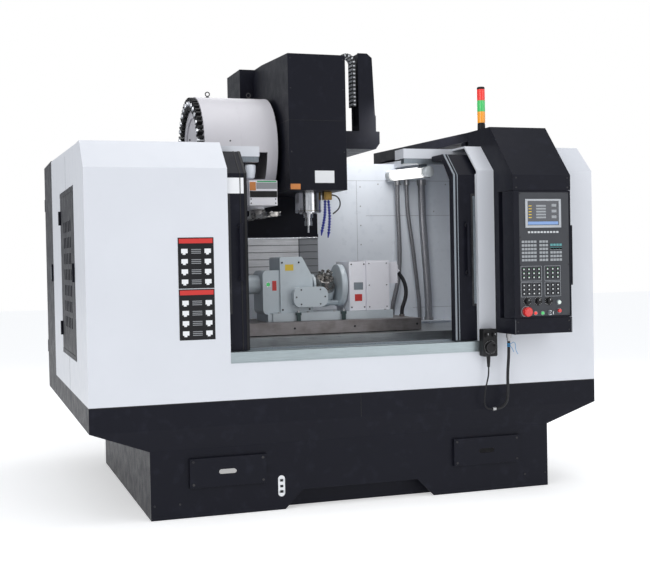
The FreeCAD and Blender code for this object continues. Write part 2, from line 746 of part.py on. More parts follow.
def operator_housing():
    """Hanging housing: hood above, shelf below, and a back that the swivel panel sits before."""
    hood = [(0, 955), (panel_front, 955), (panel_front, 1046), (-60, 1046), (-60, 1796), (panel_front, 1796),
            (panel_front, 1885), (41, 2196), (339, 2196), (339, roof_height), (chamfer_run, roof_height),
            (0, front_top)]
    x, y = panel_hinge
    pin_holes = [rod(x, y, z, 5.05, 22, Z_AXIS) for z in (1026, 1795)]
    return cut(side_profile(hood, pillar_outer, 1255), pin_holes)


def operator_panel():
    shell = box(panel_left, panel_right, panel_front, panel_back, panel_bottom, panel_top)
    face = box(panel_left + 34, panel_right - 8, panel_front - 1, panel_front + 3, panel_bottom + 8,
               panel_top - 8)
    shell = shell.cut(face)
    handle = rod(panel_right + 26, panel_front + 40, 1235, 8, 355, Z_AXIS)
    posts = [rod(panel_right - 2, panel_front + 40, z, 7, 28, X_AXIS) for z in (1250, 1575)]
    holes = [rod(x, panel_front - 2, z, 5.06, 40, Y_AXIS) for x, z, _, _ in panel_controls.values()]
    pins = [rod(*panel_hinge, z, 5, 20, Z_AXIS) for z in (1029, 1793)]
    return cut(fuse([shell, handle] + posts + pins), holes)


# Front-panel controls: x, z, cap radius, cap length. They stand on stems in the panel's face.
panel_controls = {
    "emergency_stop": (952.0, 1086.0, 28.0, 30.0),
    "feed_knob": (959.0, 1146.0, 15.0, 20.0),
    "spindle_knob": (1030.0, 1146.0, 15.0, 20.0),
    "mode_knob": (1101.0, 1146.0, 15.0, 20.0),
    "power_on_button": (1166.0, 1136.0, 11.0, 9.0),
    "power_off_button": (1168.0, 1086.0, 11.0, 9.0),
    "key_switch": (1106.0, 1076.0, 12.0, 14.0),
}


def control(name):
    x, z, radius, length = panel_controls[name]
    face_y = panel_front + 3
    gap = 5.5 if "button" in name or "stop" in name else 0.6
    stem = rod(x, face_y - gap - 1, z, 5, 24 + gap, Y_AXIS)
    cap = rod(x, face_y - gap, z, radius, length, V(0, -1, 0))
    if name == "emergency_stop":
        edges = [e for e in cap.Edges if e.CenterOfMass.y < face_y - gap - length + 1 and e.Length > 20]
        cap = cap.makeFillet(8, edges[:1])
        return fuse([cap, stem])
    if name.endswith("knob"):
        pointer = box(x - 1.2, x + 1.2, face_y - gap - length - 1.5, face_y - gap - length + 4, z, z + radius)
        return fuse([cap, stem, pointer])
    if name == "key_switch":
        blade = box(x - 1.3, x + 1.3, face_y - gap - length - 30, face_y - gap - length + 2, z - 9, z + 9)
        return fuse([cap, stem, blade])
    return fuse([cap, stem])


def pendant_body():
    """Hand-held pulse pendant hung on the hanger beside the door."""
    body = box(757, 849, -66, -13, 818, 982)
    body = fillet_edges(body, 10, lambda e: abs(e.Length - 53) < 1)
    relief = Part.makeCone(8, 12, 66, V(802, -40, 753), Z_AXIS)
    stems = [rod(x, -72, z, 5, 10, Y_AXIS) for x, z in ((780, 946), (826, 946))]
    caps = [rod(x, -84, z, 12, 14, Y_AXIS) for x, z in ((780, 946), (826, 946))]
    unit = fuse([body, relief] + stems + caps)
    return unit.cut(rod(803, -70, 872, 6.05, 40, Y_AXIS))


def pendant_wheel():
    rim = rod(803, -82, 872, 33, 14, Y_AXIS)
    stem = rod(803, -70, 872, 6, 30, Y_AXIS)
    knob = rod(822, -98, 884, 6, 18, Y_AXIS)
    return fuse([rim, stem, knob])


def pendant_gland():
    nut = rod(928, -60, 925, 16, 30, Z_AXIS)
    sleeve = rod(928, -60, 905, 11, 22, Z_AXIS)
    ferrule = rod(838, -52, 503, 11, 20, V(-1, 0, 0))
    return group([fuse([nut, sleeve]), ferrule])


# --- lights and hoses ---------------------------------------------------------------------------

def work_lamp():
    """Tube lamp with end caps, on a block under the right roof strip."""
    start, end = V(618, 352, 1952), V(496, 735, 1952)
    along = end - start
    length = along.Length
    unit = along * (1 / length)
    glass = Part.makeCylinder(33, length - 80, start + unit * 40, along)
    caps = [Part.makeCylinder(36, 42, start, along), Part.makeCylinder(36, 42, end - unit * 42, along)]
    block = box(578, 618, 400, 440, 1978, roof_height - 4)
    return fuse([glass, block] + caps)


signal_lens_z = (2239.0, 2308.0, 2377.0)


def signal_tower():
    """Stacked lamp: base, three lenses and a cap, each a solid of its own."""
    base = rod(900, 200, 2197, 24, 42, Z_AXIS)
    lenses = [rod(900, 200, z + 0.5, 25, 68, Z_AXIS) for z in signal_lens_z]
    cap = rod(900, 200, 2446, 24, 16, Z_AXIS)
    return group([base, cap] + lenses)


def hose_fittings():
    """Nuts under the manifold and sockets on the shelf, one pair for each hanging hose."""
    parts = []
    for (x, y), (bottom_x, bottom_y), radius in hose_ends.values():
        parts.append(rod(x, y, hose_top, radius + 7, 1990 - hose_top, Z_AXIS))
        parts.append(rod(bottom_x, bottom_y, 956, radius + 6, 22, Z_AXIS))
    return group(parts)


hose_top = 1950.0
hose_bottom = 978.0
hose_ends = {
    "hose_a": ((868, 1510), (813, 1510), 16),
    "hose_b": ((943, 1512), (1030, 1512), 14),
    "hose_c": ((1064, 1516), (1102, 1512), 27),
}
hose_routes = {
    "hose_a": [(868, 1510, 1950), (868, 1510, 1790), (876, 1508, 1600), (877, 1504, 1420), (866, 1504, 1270),
               (837, 1508, 1150), (813, 1510, 1060), (813, 1510, 978)],
    "hose_b": [(943, 1512, 1950), (943, 1512, 1800), (962, 1508, 1640), (982, 1504, 1490), (1000, 1504, 1320),
               (1018, 1508, 1170), (1030, 1512, 1070), (1030, 1512, 978)],
    "hose_c": [(1064, 1516, 1950), (1064, 1516, 1780), (1072, 1512, 1600), (1083, 1509, 1420),
               (1092, 1509, 1260), (1102, 1512, 1110), (1102, 1512, 978)],
}
table_hose_route = [(611, 900, 1322), (641, 899, 1287), (660, 897, 1245), (668, 895, 1200), (664, 893, 1154),
                    (649, 892, 1112), (633, 892, 1074), (633, 892, 1039)]
conduit_route = [(928, -60, 905), (928, -60, 850), (924, -61, 790), (919, -60, 730), (917, -60, 670),
                 (919, -59, 610), (915, -57, 553), (897, -55, 521), (866, -52, 503), (838, -52, 503)]
cable_route = [(818, -52, 503), (793, -52, 503), (777, -51, 512), (768, -50, 528), (767, -48, 557),
               (774, -45, 606), (788, -42, 660), (802, -40, 706), (802, -40, 753)]


# --- rear cabinet ----------------------------------------------------------------------------------

def rear_cabinet():
    """Electrical cabinet behind the left half, open on its left side where its door closes."""
    x0, x1, y0, y1, z0, z1 = -1536, -200, 2006, 2640, 496, 2150
    shell = box(x0, x1, y0, y1, z0, z1)
    inside = box(x0 - 1, x1 - 6, y0 + 6, y1 - 6, z0 + 6, z1 - 6)
    shell = shell.cut(inside)
    gear_plate = box(-900, -890, y0 + 5, y1 - 5, z0 + 60, z1 - 60)
    return fuse([shell, gear_plate, box(-560, -440, y0 + 300, y1 - 5, 1000, 1300)])


def cabinet_door():
    leaf = box(-1550, -1538, 2008, 2638, 500, 2146)
    knuckles = [rod(-1546, 2646, z, 7, 90, Z_AXIS) for z in (760, 1820)]
    straps = [box(-1550, -1540, 2630, 2646, z, z + 90) for z in (760, 1820)]
    latch = box(-1562, -1549, 2030, 2060, 1300, 1420)
    return fuse([leaf, latch] + straps + knuckles)


parts = {
    "base_tank": base_tank(),
    "access_covers": access_covers(),
    "bed_casting": bed_casting(),
    "chip_pan": chip_pan(),
    "left_front_panel": left_front_panel(),
    "right_front_panel": right_front_panel(),
    "front_sill": front_sill(),
    "side_panels": side_panels(),
    "vent_door": vent_door(),
    "roof_panels": roof_panels(),
    "roof_duct": roof_duct(),
    "cabin_liner": cabin_liner(),
    "back_panel": back_panel(),
    "door_track": door_track(),
    "left_door": door(left_door_edge - door_length, left_door_edge, -690),
    "left_window": window(left_door_edge - door_length, left_door_edge),
    "right_door": door(right_door_edge, right_door_edge + door_length, 708),
    "right_window": window(right_door_edge, right_door_edge + door_length),
    "column": column(),
    "spindle_head": spindle_head(),
    "head_cover": head_cover(),
    "tool_spindle": tool_spindle(),
    "coolant_nozzles": coolant_nozzles(),
    "z_cover": z_cover(),
    "cable_chain": cable_chain(),
    "chain_post": chain_post(),
    "magazine_cover": magazine_cover(),
    "carousel": carousel(),
    "changer_gearbox": changer_gearbox(),
    "change_arm": change_arm(),
    "saddle": saddle(),
    "saddle_cover": saddle_cover(),
    "table": table(),
    "rotary_body": rotary_body(),
    "rotary_drive_box": rotary_drive_box(),
    "tilt_cradle": tilt_cradle(),
    "faceplate": faceplate(),
    "operator_housing": operator_housing(),
    "operator_panel": operator_panel(),
    "pendant_body": pendant_body(),
    "pendant_wheel": pendant_wheel(),
    "pendant_gland": pendant_gland(),
    "work_lamp": work_lamp(),
    "signal_tower": signal_tower(),
    "hose_fittings": hose_fittings(),
    "rear_cabinet": rear_cabinet(),
    "cabinet_door": cabinet_door(),
    "table_hose": tube(table_hose_route, 26, "table_hose"),
    "pendant_conduit": tube(conduit_route, 18, "pendant_conduit"),
    "pendant_cable": tube(cable_route, 9, "pendant_cable"),
}
for name in panel_controls:
    parts[name] = control(name)
for name, route in hose_routes.items():
    parts[name] = tube(route, 2 * hose_ends[name][2], name)
for name, shape in parts.items():
    save(shape, name)
print(len(parts), "nodes")
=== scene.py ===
import bmesh
import bpy
import math
from mathutils import Matrix, Vector


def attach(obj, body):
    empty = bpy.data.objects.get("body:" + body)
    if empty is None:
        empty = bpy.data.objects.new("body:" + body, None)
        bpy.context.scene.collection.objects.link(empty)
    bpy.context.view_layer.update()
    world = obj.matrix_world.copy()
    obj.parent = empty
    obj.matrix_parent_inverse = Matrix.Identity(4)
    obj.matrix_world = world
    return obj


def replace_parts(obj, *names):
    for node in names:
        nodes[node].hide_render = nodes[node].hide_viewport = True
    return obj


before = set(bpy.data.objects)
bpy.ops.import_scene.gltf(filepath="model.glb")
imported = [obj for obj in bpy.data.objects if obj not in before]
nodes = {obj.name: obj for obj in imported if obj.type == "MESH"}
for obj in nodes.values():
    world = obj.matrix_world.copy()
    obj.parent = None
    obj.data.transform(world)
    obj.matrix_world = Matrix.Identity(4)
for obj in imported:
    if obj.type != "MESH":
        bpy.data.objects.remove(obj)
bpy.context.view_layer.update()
print("frame loaded:", len(nodes), "nodes")

frontToMiddle = 985.0  # mm from the front sheet back to the origin


def at(x, y, z):  # shop drawing millimetres, y = 0 on the front sheet, to the model's metres
    return Vector((x / 1000, (y - frontToMiddle) / 1000, z / 1000))


# camera, in the model's metres and radians
viewer = {"place": (-2.201, -6.964, 1.401), "turn": 0.3221, "down": 0.0211, "roll": 0.0194, "lens": 61.12}


def makeCamera():
    turn, down, roll = viewer["turn"], viewer["down"], viewer["roll"]
    ahead = Vector((math.sin(turn) * math.cos(down), math.cos(turn) * math.cos(down), -math.sin(down)))
    right = ahead.cross(Vector((0, 0, 1))).normalized()
    low = ahead.cross(right)
    rolledRight = right * math.cos(roll) + low * math.sin(roll)
    rolledLow = low * math.cos(roll) - right * math.sin(roll)
    data = bpy.data.cameras.new("camera")
    data.lens = viewer["lens"]
    data.clip_end = 100
    camera = bpy.data.objects.new("camera", data)
    bpy.context.scene.collection.objects.link(camera)
    turned = Matrix((rolledRight, -rolledLow, -ahead)).transposed().to_4x4()
    camera.matrix_world = Matrix.Translation(viewer["place"]) @ turned
    bpy.context.scene.camera = camera


makeCamera()


# shader groups: each puts out a colour, a roughness and a height that change over the surface

def shaderGroup(name, inputs):
    group = bpy.data.node_groups.new(name, "ShaderNodeTree")
    kinds = {"Coordinates": "NodeSocketVector", "Stretch": "NodeSocketVector"}
    for label, value in inputs.items():
        kind = kinds.get(label, "NodeSocketColor" if label.endswith("Color") else "NodeSocketFloat")
        socket = group.interface.new_socket(name=label, in_out="INPUT", socket_type=kind)
        if value is not None:
            socket.default_value = value
    for label, kind in (("Color", "NodeSocketColor"), ("Roughness", "NodeSocketFloat"),
                        ("Height", "NodeSocketFloat")):
        group.interface.new_socket(name=label, in_out="OUTPUT", socket_type=kind)
    return group, group.nodes.new("NodeGroupInput"), group.nodes.new("NodeGroupOutput")


def noise(tree, scale, detail, vector):
    node = tree.nodes.new("ShaderNodeTexNoise")
    node.inputs["Detail"].default_value = detail
    if isinstance(scale, (int, float)):
        node.inputs["Scale"].default_value = scale
    else:
        tree.links.new(scale, node.inputs["Scale"])
    tree.links.new(vector, node.inputs["Vector"])
    return node.outputs["Fac"]


def math2(tree, operation, a, b, clamp=False):
    node = tree.nodes.new("ShaderNodeMath")
    node.operation = operation
    node.use_clamp = clamp
    for socket, value in zip(node.inputs, (a, b)):
        if isinstance(value, (int, float)):
            socket.default_value = value
        else:
            tree.links.new(value, socket)
    return node.outputs[0]


def mixColor(tree, factor, a, b):
    node = tree.nodes.new("ShaderNodeMix")
    node.data_type = "RGBA"
    for socket, value in ((node.inputs[0], factor), (node.inputs[6], a), (node.inputs[7], b)):
        if hasattr(value, "is_linked") or hasattr(value, "links"):
            tree.links.new(value, socket)
        else:
            socket.default_value = value
    return node.outputs[2]


def remap(tree, value, fromLow, fromHigh, toLow, toHigh):
    node = tree.nodes.new("ShaderNodeMapRange")
    tree.links.new(value, node.inputs[0])
    for i, number in enumerate((fromLow, fromHigh, toLow, toHigh)):
        node.inputs[i + 1].default_value = number
    return node.outputs[0]


def makeCoatGroup():
    # paint and moulded surfaces: fine orange peel, slow clouds in the colour, faint rubbed patches
    group, into, out = shaderGroup("coatSurface", {
        "Coordinates": None, "Base Color": (0.5, 0.5, 0.5, 1), "Rubbed Color": (0.6, 0.6, 0.6, 1),
        "Grain Scale": 500.0, "Clouding": 0.05, "Rubbing": 0.1, "Base Roughness": 0.4})
    where = into.outputs["Coordinates"]
    fine = noise(group, into.outputs["Grain Scale"], 2.0, where)
    cloud = noise(group, 2.2, 4.0, where)
    patch = noise(group, 14.0, 6.0, where)
    shade = math2(group, "MULTIPLY", math2(group, "SUBTRACT", cloud, 0.5), into.outputs["Clouding"])
    bright = group.nodes.new("ShaderNodeHueSaturation")
    group.links.new(math2(group, "ADD", 1.0, math2(group, "MULTIPLY", shade, 3.0)), bright.inputs["Value"])
    group.links.new(into.outputs["Base Color"], bright.inputs["Color"])
    rubbed = math2(group, "MULTIPLY", remap(group, patch, 0.56, 0.72, 0.0, 1.0), into.outputs["Rubbing"])
    color = mixColor(group, rubbed, bright.outputs["Color"], into.outputs["Rubbed Color"])
    group.links.new(color, out.inputs["Color"])
    rough = math2(group, "ADD", into.outputs["Base Roughness"],
                  math2(group, "MULTIPLY", math2(group, "SUBTRACT", patch, 0.5), 0.35), True)
    group.links.new(rough, out.inputs["Roughness"])
    group.links.new(fine, out.inputs["Height"])
    return group


def makeMetalGroup():
    # brushed or ground metal: long scratches, with oily darker patches
    group, into, out = shaderGroup("groundMetal", {
        "Coordinates": None, "Base Color": (0.5, 0.5, 0.5, 1), "Stain Color": (0.3, 0.28, 0.26, 1),
        "Stretch": (1.0, 1.0, 1.0), "Grain Scale": 300.0, "Staining": 0.2, "Base Roughness": 0.3})
    where = into.outputs["Coordinates"]
    scaled = group.nodes.new("ShaderNodeVectorMath")
    scaled.operation = "MULTIPLY"
    group.links.new(where, scaled.inputs[0])
    group.links.new(into.outputs["Stretch"], scaled.inputs[1])
    streak = noise(group, into.outputs["Grain Scale"], 3.0, scaled.outputs[0])
    patch = noise(group, 9.0, 6.0, where)
    stained = math2(group, "MULTIPLY", remap(group, patch, 0.45, 0.75, 0.0, 1.0), into.outputs["Staining"])
    color = mixColor(group, stained, into.outputs["Base Color"], into.outputs["Stain Color"])
    streaked = group.nodes.new("ShaderNodeHueSaturation")
    group.links.new(remap(group, streak, 0.3, 0.7, 0.86, 1.12), streaked.inputs["Value"])
    group.links.new(color, streaked.inputs["Color"])
    group.links.new(streaked.outputs["Color"], out.inputs["Color"])
    rough = math2(group, "ADD", into.outputs["Base Roughness"],
                  math2(group, "MULTIPLY", math2(group, "SUBTRACT", streak, 0.5), 0.4), True)
    group.links.new(rough, out.inputs["Roughness"])
    group.links.new(streak, out.inputs["Height"])
    return group


def makeBraidGroup():
    # two crossing sets of fine wires
    group, into, out = shaderGroup("wireBraid", {
        "Coordinates": None, "Base Color": (0.5, 0.5, 0.5, 1), "Gap Color": (0.05, 0.05, 0.05, 1),
        "Wire Scale": 120.0, "Base Roughness": 0.35})
    waves = []
    for sign in (1, -1):
        turned = group.nodes.new("ShaderNodeMapping")
        turned.inputs["Rotation"].default_value = (0, sign * 0.8, sign * 0.5)
        group.links.new(into.outputs["Coordinates"], turned.inputs["Vector"])
        wave = group.nodes.new("ShaderNodeTexWave")
        wave.bands_direction = "Z"
        wave.inputs["Detail"].default_value = 0.0
        group.links.new(into.outputs["Wire Scale"], wave.inputs["Scale"])
        group.links.new(turned.outputs["Vector"], wave.inputs["Vector"])
        waves.append(wave.outputs["Fac"])
    height = math2(group, "MAXIMUM", waves[0], waves[1])
    group.links.new(mixColor(group, height, into.outputs["Gap Color"], into.outputs["Base Color"]),
                    out.inputs["Color"])
    rough = math2(group, "SUBTRACT", 0.75, math2(group, "MULTIPLY", height, 0.45))
    group.links.new(math2(group, "ADD", math2(group, "MULTIPLY", rough, 0.6), math2(group, "MULTIPLY",
        into.outputs["Base Roughness"], 0.4)), out.inputs["Roughness"])
    group.links.new(height, out.inputs["Height"])
    return group


surfaces = {"coat": makeCoatGroup(), "metal": makeMetalGroup(), "braid": makeBraidGroup()}


def finish(name, surface, color, bump=0.1, metallic=0.0, coat=0.0, glow=None, clear=None, second=None,
           shine=0.5, **values):
    material = bpy.data.materials.new(name)
    material.use_nodes = True
    tree = material.node_tree
    shader = tree.nodes["Principled BSDF"]
    place = tree.nodes.new("ShaderNodeTexCoord")
    group = tree.nodes.new("ShaderNodeGroup")
    group.node_tree = surfaces[surface]
    tree.links.new(place.outputs["Object"], group.inputs["Coordinates"])
    group.inputs["Base Color"].default_value = (*color, 1)
    if second:
        label = {"coat": "Rubbed Color", "metal": "Stain Color", "braid": "Gap Color"}[surface]
        group.inputs[label].default_value = (*second, 1)
    for label, value in values.items():
        group.inputs[label.replace("_", " ")].default_value = value
    tree.links.new(group.outputs["Color"], shader.inputs["Base Color"])
    tree.links.new(group.outputs["Roughness"], shader.inputs["Roughness"])
    relief = tree.nodes.new("ShaderNodeBump")
    relief.inputs["Strength"].default_value = bump
    relief.inputs["Distance"].default_value = 0.001
    tree.links.new(group.outputs["Height"], relief.inputs["Height"])
    tree.links.new(relief.outputs["Normal"], shader.inputs["Normal"])
    shader.inputs["Metallic"].default_value = metallic
    shader.inputs["Coat Weight"].default_value = coat
    shader.inputs["Specular IOR Level"].default_value = shine
    if glow:
        shader.inputs["Emission Color"].default_value = (*color, 1)
        shader.inputs["Emission Strength"].default_value = glow
    if clear:
        shader.inputs["Transmission Weight"].default_value = clear
    return material


white = finish("whitePowderCoat", "coat", (0.70, 0.72, 0.77), 0.12, second=(0.64, 0.66, 0.71),
               Grain_Scale=420.0, Clouding=0.03, Rubbing=0.12, Base_Roughness=0.38)
black = finish("blackTexturedCoat", "coat", (0.0085, 0.009, 0.015), 0.35, second=(0.018, 0.019, 0.029),
    shine=0.13, Grain_Scale=900.0, Clouding=0.10, Rubbing=0.5, Base_Roughness=0.42)
innerWhite = finish("cabinWhite", "coat", (0.84, 0.88, 0.94), 0.08, second=(0.62, 0.67, 0.74),
                    Grain_Scale=300.0, Clouding=0.05, Rubbing=0.25, Base_Roughness=0.33)
drumWhite = finish("drumWhite", "coat", (0.62, 0.605, 0.64), 0.1, second=(0.57, 0.555, 0.59),
                   Grain_Scale=420.0, Clouding=0.04, Rubbing=0.2, Base_Roughness=0.42)
casting = finish("greyEnamelCasting", "coat", (0.56, 0.62, 0.66), 0.5, coat=0.3, second=(0.47, 0.53, 0.57),
                 Grain_Scale=160.0, Clouding=0.06, Rubbing=0.35, Base_Roughness=0.36)
castingLight = finish("lightEnamelSheet", "coat", (0.90, 0.89, 0.94), 0.1, second=(0.80, 0.79, 0.85),
                      Grain_Scale=420.0, Clouding=0.04, Rubbing=0.2, Base_Roughness=0.36)
bedIron = finish("paintedBedIron", "coat", (0.10, 0.11, 0.12), 0.5, second=(0.16, 0.16, 0.17),
                 shine=0.25, Grain_Scale=140.0, Clouding=0.1, Rubbing=0.5, Base_Roughness=0.5)
tableIron = finish("groundTableIron", "metal", (0.27, 0.25, 0.25), 0.25, metallic=0.75,
                   second=(0.11, 0.085, 0.075), Stretch=(0.03, 1.0, 1.0), Grain_Scale=420.0, Staining=0.7,
                   Base_Roughness=0.44)
sheetSteel = finish("coverSheetSteel", "metal", (0.34, 0.36, 0.37), 0.15, metallic=0.85,
                    second=(0.22, 0.22, 0.23), Stretch=(0.02, 1.0, 1.0), Grain_Scale=500.0, Staining=0.55,
                    Base_Roughness=0.36)
sillSteel = finish("sillStainless", "metal", (0.40, 0.46, 0.48), 0.12, metallic=0.8, second=(0.33, 0.38,
    0.40), Stretch=(0.02, 1.0, 1.0), Grain_Scale=600.0, Staining=0.3, Base_Roughness=0.38)
slatSteel = finish("slatSteel", "metal", (0.82, 0.82, 0.84), 0.1, metallic=0.45, second=(0.62, 0.61, 0.61),
                   Stretch=(0.02, 1.0, 1.0), Grain_Scale=400.0, Staining=0.4, Base_Roughness=0.4)
chrome = finish("polishedSteel", "metal", (0.72, 0.73, 0.76), 0.05, metallic=1.0, second=(0.40, 0.39, 0.38),
                Stretch=(1.0, 1.0, 0.05), Grain_Scale=250.0, Staining=0.25, Base_Roughness=0.16)
turnedSteel = finish("turnedSteel", "metal", (0.47, 0.45, 0.43), 0.15, metallic=1.0, second=(0.20, 0.18,
    0.17), Stretch=(1.0, 1.0, 0.1), Grain_Scale=300.0, Staining=0.5, Base_Roughness=0.24)
screwSteel = finish("zincScrews", "metal", (0.45, 0.45, 0.46), 0.1, metallic=0.9, Grain_Scale=300.0,
                    Base_Roughness=0.35)
blackScrew = finish("blackOxideScrews", "metal", (0.03, 0.03, 0.035), 0.1, metallic=0.6, Grain_Scale=300.0,
                    Base_Roughness=0.4)
brass = finish("brassBlock", "metal", (0.30, 0.19, 0.06), 0.15, metallic=1.0, second=(0.25, 0.16, 0.06),
               Grain_Scale=200.0, Staining=0.4, Base_Roughness=0.33)
trimGrey = finish("anodisedTrim", "metal", (0.22, 0.25, 0.28), 0.08, metallic=0.7, Stretch=(1.0, 1.0, 0.03),
                  Grain_Scale=500.0, Base_Roughness=0.35)
darkGreen = finish("greenClampPaint", "coat", (0.025, 0.055, 0.055), 0.3, second=(0.06, 0.09, 0.09),
                   Grain_Scale=240.0, Rubbing=0.5, Base_Roughness=0.4)
blackPlastic = finish("blackMoulding", "coat", (0.012, 0.012, 0.013), 0.25, second=(0.03, 0.03, 0.03),
                      shine=0.25, Grain_Scale=700.0, Rubbing=0.4, Base_Roughness=0.45)
panelGrey = finish("panelFoil", "coat", (0.055, 0.058, 0.066), 0.1, second=(0.08, 0.083, 0.09),
                   shine=0.25, Grain_Scale=900.0, Rubbing=0.3, Base_Roughness=0.5)
keyGrey = finish("greyKeycaps", "coat", (0.33, 0.35, 0.37), 0.1, second=(0.42, 0.43, 0.45), Grain_Scale=600.0,
                 Rubbing=0.3, Base_Roughness=0.45)
keyTeal = finish("tealKeycaps", "coat", (0.10, 0.32, 0.33), 0.1, second=(0.2, 0.4, 0.4), Grain_Scale=600.0,
                 Rubbing=0.3, Base_Roughness=0.45)
keyWhite = finish("paleKeycaps", "coat", (0.62, 0.64, 0.66), 0.1, second=(0.5, 0.52, 0.54), Grain_Scale=600.0,
                  Rubbing=0.3, Base_Roughness=0.42)
bezelGrey = finish("screenBezel", "coat", (0.45, 0.47, 0.50), 0.1, second=(0.36, 0.38, 0.40),
                   Grain_Scale=600.0, Rubbing=0.2, Base_Roughness=0.4)
screenDark = finish("screenGlass", "coat", (0.012, 0.016, 0.03), 0.0, coat=1.0, second=(0.012, 0.016, 0.03),
                    Grain_Scale=40.0, Clouding=0.05, Rubbing=0.0, Base_Roughness=0.12)
screenBlue = finish("screenFields", "coat", (0.10, 0.20, 0.42), 0.0, glow=0.5, coat=1.0,
                    second=(0.14, 0.26, 0.48), Grain_Scale=60.0, Base_Roughness=0.2)
red = finish("redMoulding", "coat", (0.62, 0.012, 0.010), 0.05, coat=0.5, second=(0.5, 0.02, 0.02),
             Grain_Scale=400.0, Base_Roughness=0.25)
green = finish("greenMoulding", "coat", (0.02, 0.36, 0.12), 0.05, coat=0.5, second=(0.03, 0.3, 0.12),
               Grain_Scale=400.0, Base_Roughness=0.25)
yellow = finish("yellowRing", "coat", (0.75, 0.52, 0.03), 0.05, second=(0.6, 0.42, 0.04), Grain_Scale=400.0,
                Base_Roughness=0.35)
paleCap = finish("paleButtonCap", "coat", (0.70, 0.80, 0.74), 0.05, coat=0.5, second=(0.6, 0.7, 0.64),
                 Grain_Scale=400.0, Base_Roughness=0.25)
lensRed = finish("redLens", "coat", (0.80, 0.03, 0.02), 0.1, coat=0.8, glow=0.25, second=(0.6, 0.05, 0.04),
                 Grain_Scale=90.0, Base_Roughness=0.2)
lensAmber = finish("amberLens", "coat", (0.85, 0.33, 0.02), 0.1, coat=0.8, glow=0.25,
                   second=(0.7, 0.3, 0.05), Grain_Scale=90.0, Base_Roughness=0.2)
lensGreen = finish("greenLens", "coat", (0.05, 0.50, 0.12), 0.1, coat=0.8, glow=0.25,
                   second=(0.1, 0.4, 0.12), Grain_Scale=90.0, Base_Roughness=0.2)
labelRed = finish("redSheet", "coat", (0.60, 0.030, 0.025), 0.03, second=(0.5, 0.05, 0.04),
                  Grain_Scale=300.0, Base_Roughness=0.4)
labelOrange = finish("orangeSheet", "coat", (0.62, 0.22, 0.05), 0.03, second=(0.5, 0.2, 0.07),
                     Grain_Scale=300.0, Base_Roughness=0.4)
labelWhite = finish("whiteSheet", "coat", (0.82, 0.83, 0.85), 0.03, second=(0.7, 0.71, 0.74),
                    Grain_Scale=300.0, Base_Roughness=0.4)
labelBlack = finish("blackSheet", "coat", (0.012, 0.012, 0.014), 0.03, second=(0.03, 0.03, 0.03),
                    shine=0.25, Grain_Scale=300.0, Base_Roughness=0.35)
labelGrey = finish("greySheet", "coat", (0.30, 0.31, 0.33), 0.03, second=(0.24, 0.25, 0.27),
                   Grain_Scale=300.0, Base_Roughness=0.4)
lampGlow = finish("lampTube", "coat", (1.0, 0.99, 0.96), 0.0, glow=1.1, second=(0.95, 0.95, 0.92),
                  Grain_Scale=60.0, Base_Roughness=0.3)
clearCap = finish("lampEnds", "coat", (0.66, 0.70, 0.72), 0.05, coat=0.7, second=(0.5, 0.54, 0.56),
                  Grain_Scale=120.0, Base_Roughness=0.2)
glass = finish("windowGlass", "coat", (0.80, 0.86, 0.87), 0.0, clear=0.95, second=(0.75, 0.8, 0.82),
               Grain_Scale=20.0, Clouding=0.01, Rubbing=0.2, Base_Roughness=0.05)
hoseRubber = finish("hoseRubber", "coat", (0.028, 0.028, 0.031), 0.5, second=(0.08, 0.08, 0.085),
                    shine=0.25, Grain_Scale=260.0, Rubbing=0.6, Base_Roughness=0.42)
hoseBraid = finish("braidedHose", "braid", (0.34, 0.34, 0.36), 0.5, metallic=0.6, second=(0.06, 0.06, 0.065),
                   Wire_Scale=130.0, Base_Roughness=0.35)
hoseSteel = finish("flexibleSteelHose", "braid", (0.52, 0.52, 0.55), 0.8, metallic=0.9,
                   second=(0.10, 0.10, 0.11), Wire_Scale=90.0, Base_Roughness=0.25)
conduitBlack = finish("conduitSleeve", "coat", (0.016, 0.016, 0.018), 0.4, second=(0.05, 0.05, 0.055),
                      shine=0.25, Grain_Scale=200.0, Rubbing=0.4, Base_Roughness=0.45)
nozzleBlue = finish("blueNozzleLinks", "coat", (0.018, 0.035, 0.33), 0.2, second=(0.05, 0.08, 0.45),
                    Grain_Scale=300.0, Rubbing=0.4, Base_Roughness=0.38)
chainGrey = finish("chainLinkMoulding", "coat", (0.030, 0.031, 0.034), 0.2, second=(0.09, 0.09, 0.1),
                   shine=0.25, Grain_Scale=300.0, Rubbing=0.5, Base_Roughness=0.38)
chainPale = finish("chainCrossbars", "coat", (0.62, 0.64, 0.67), 0.15, second=(0.3, 0.31, 0.33),
                   Grain_Scale=300.0, Rubbing=0.4, Base_Roughness=0.35)
tieBlue = finish("blueCableTies", "coat", (0.03, 0.30, 0.62), 0.1, second=(0.1, 0.4, 0.7), Grain_Scale=300.0,
                 Base_Roughness=0.4)
print("finishes made")


# cords: a smooth line through each route, in the model's metres

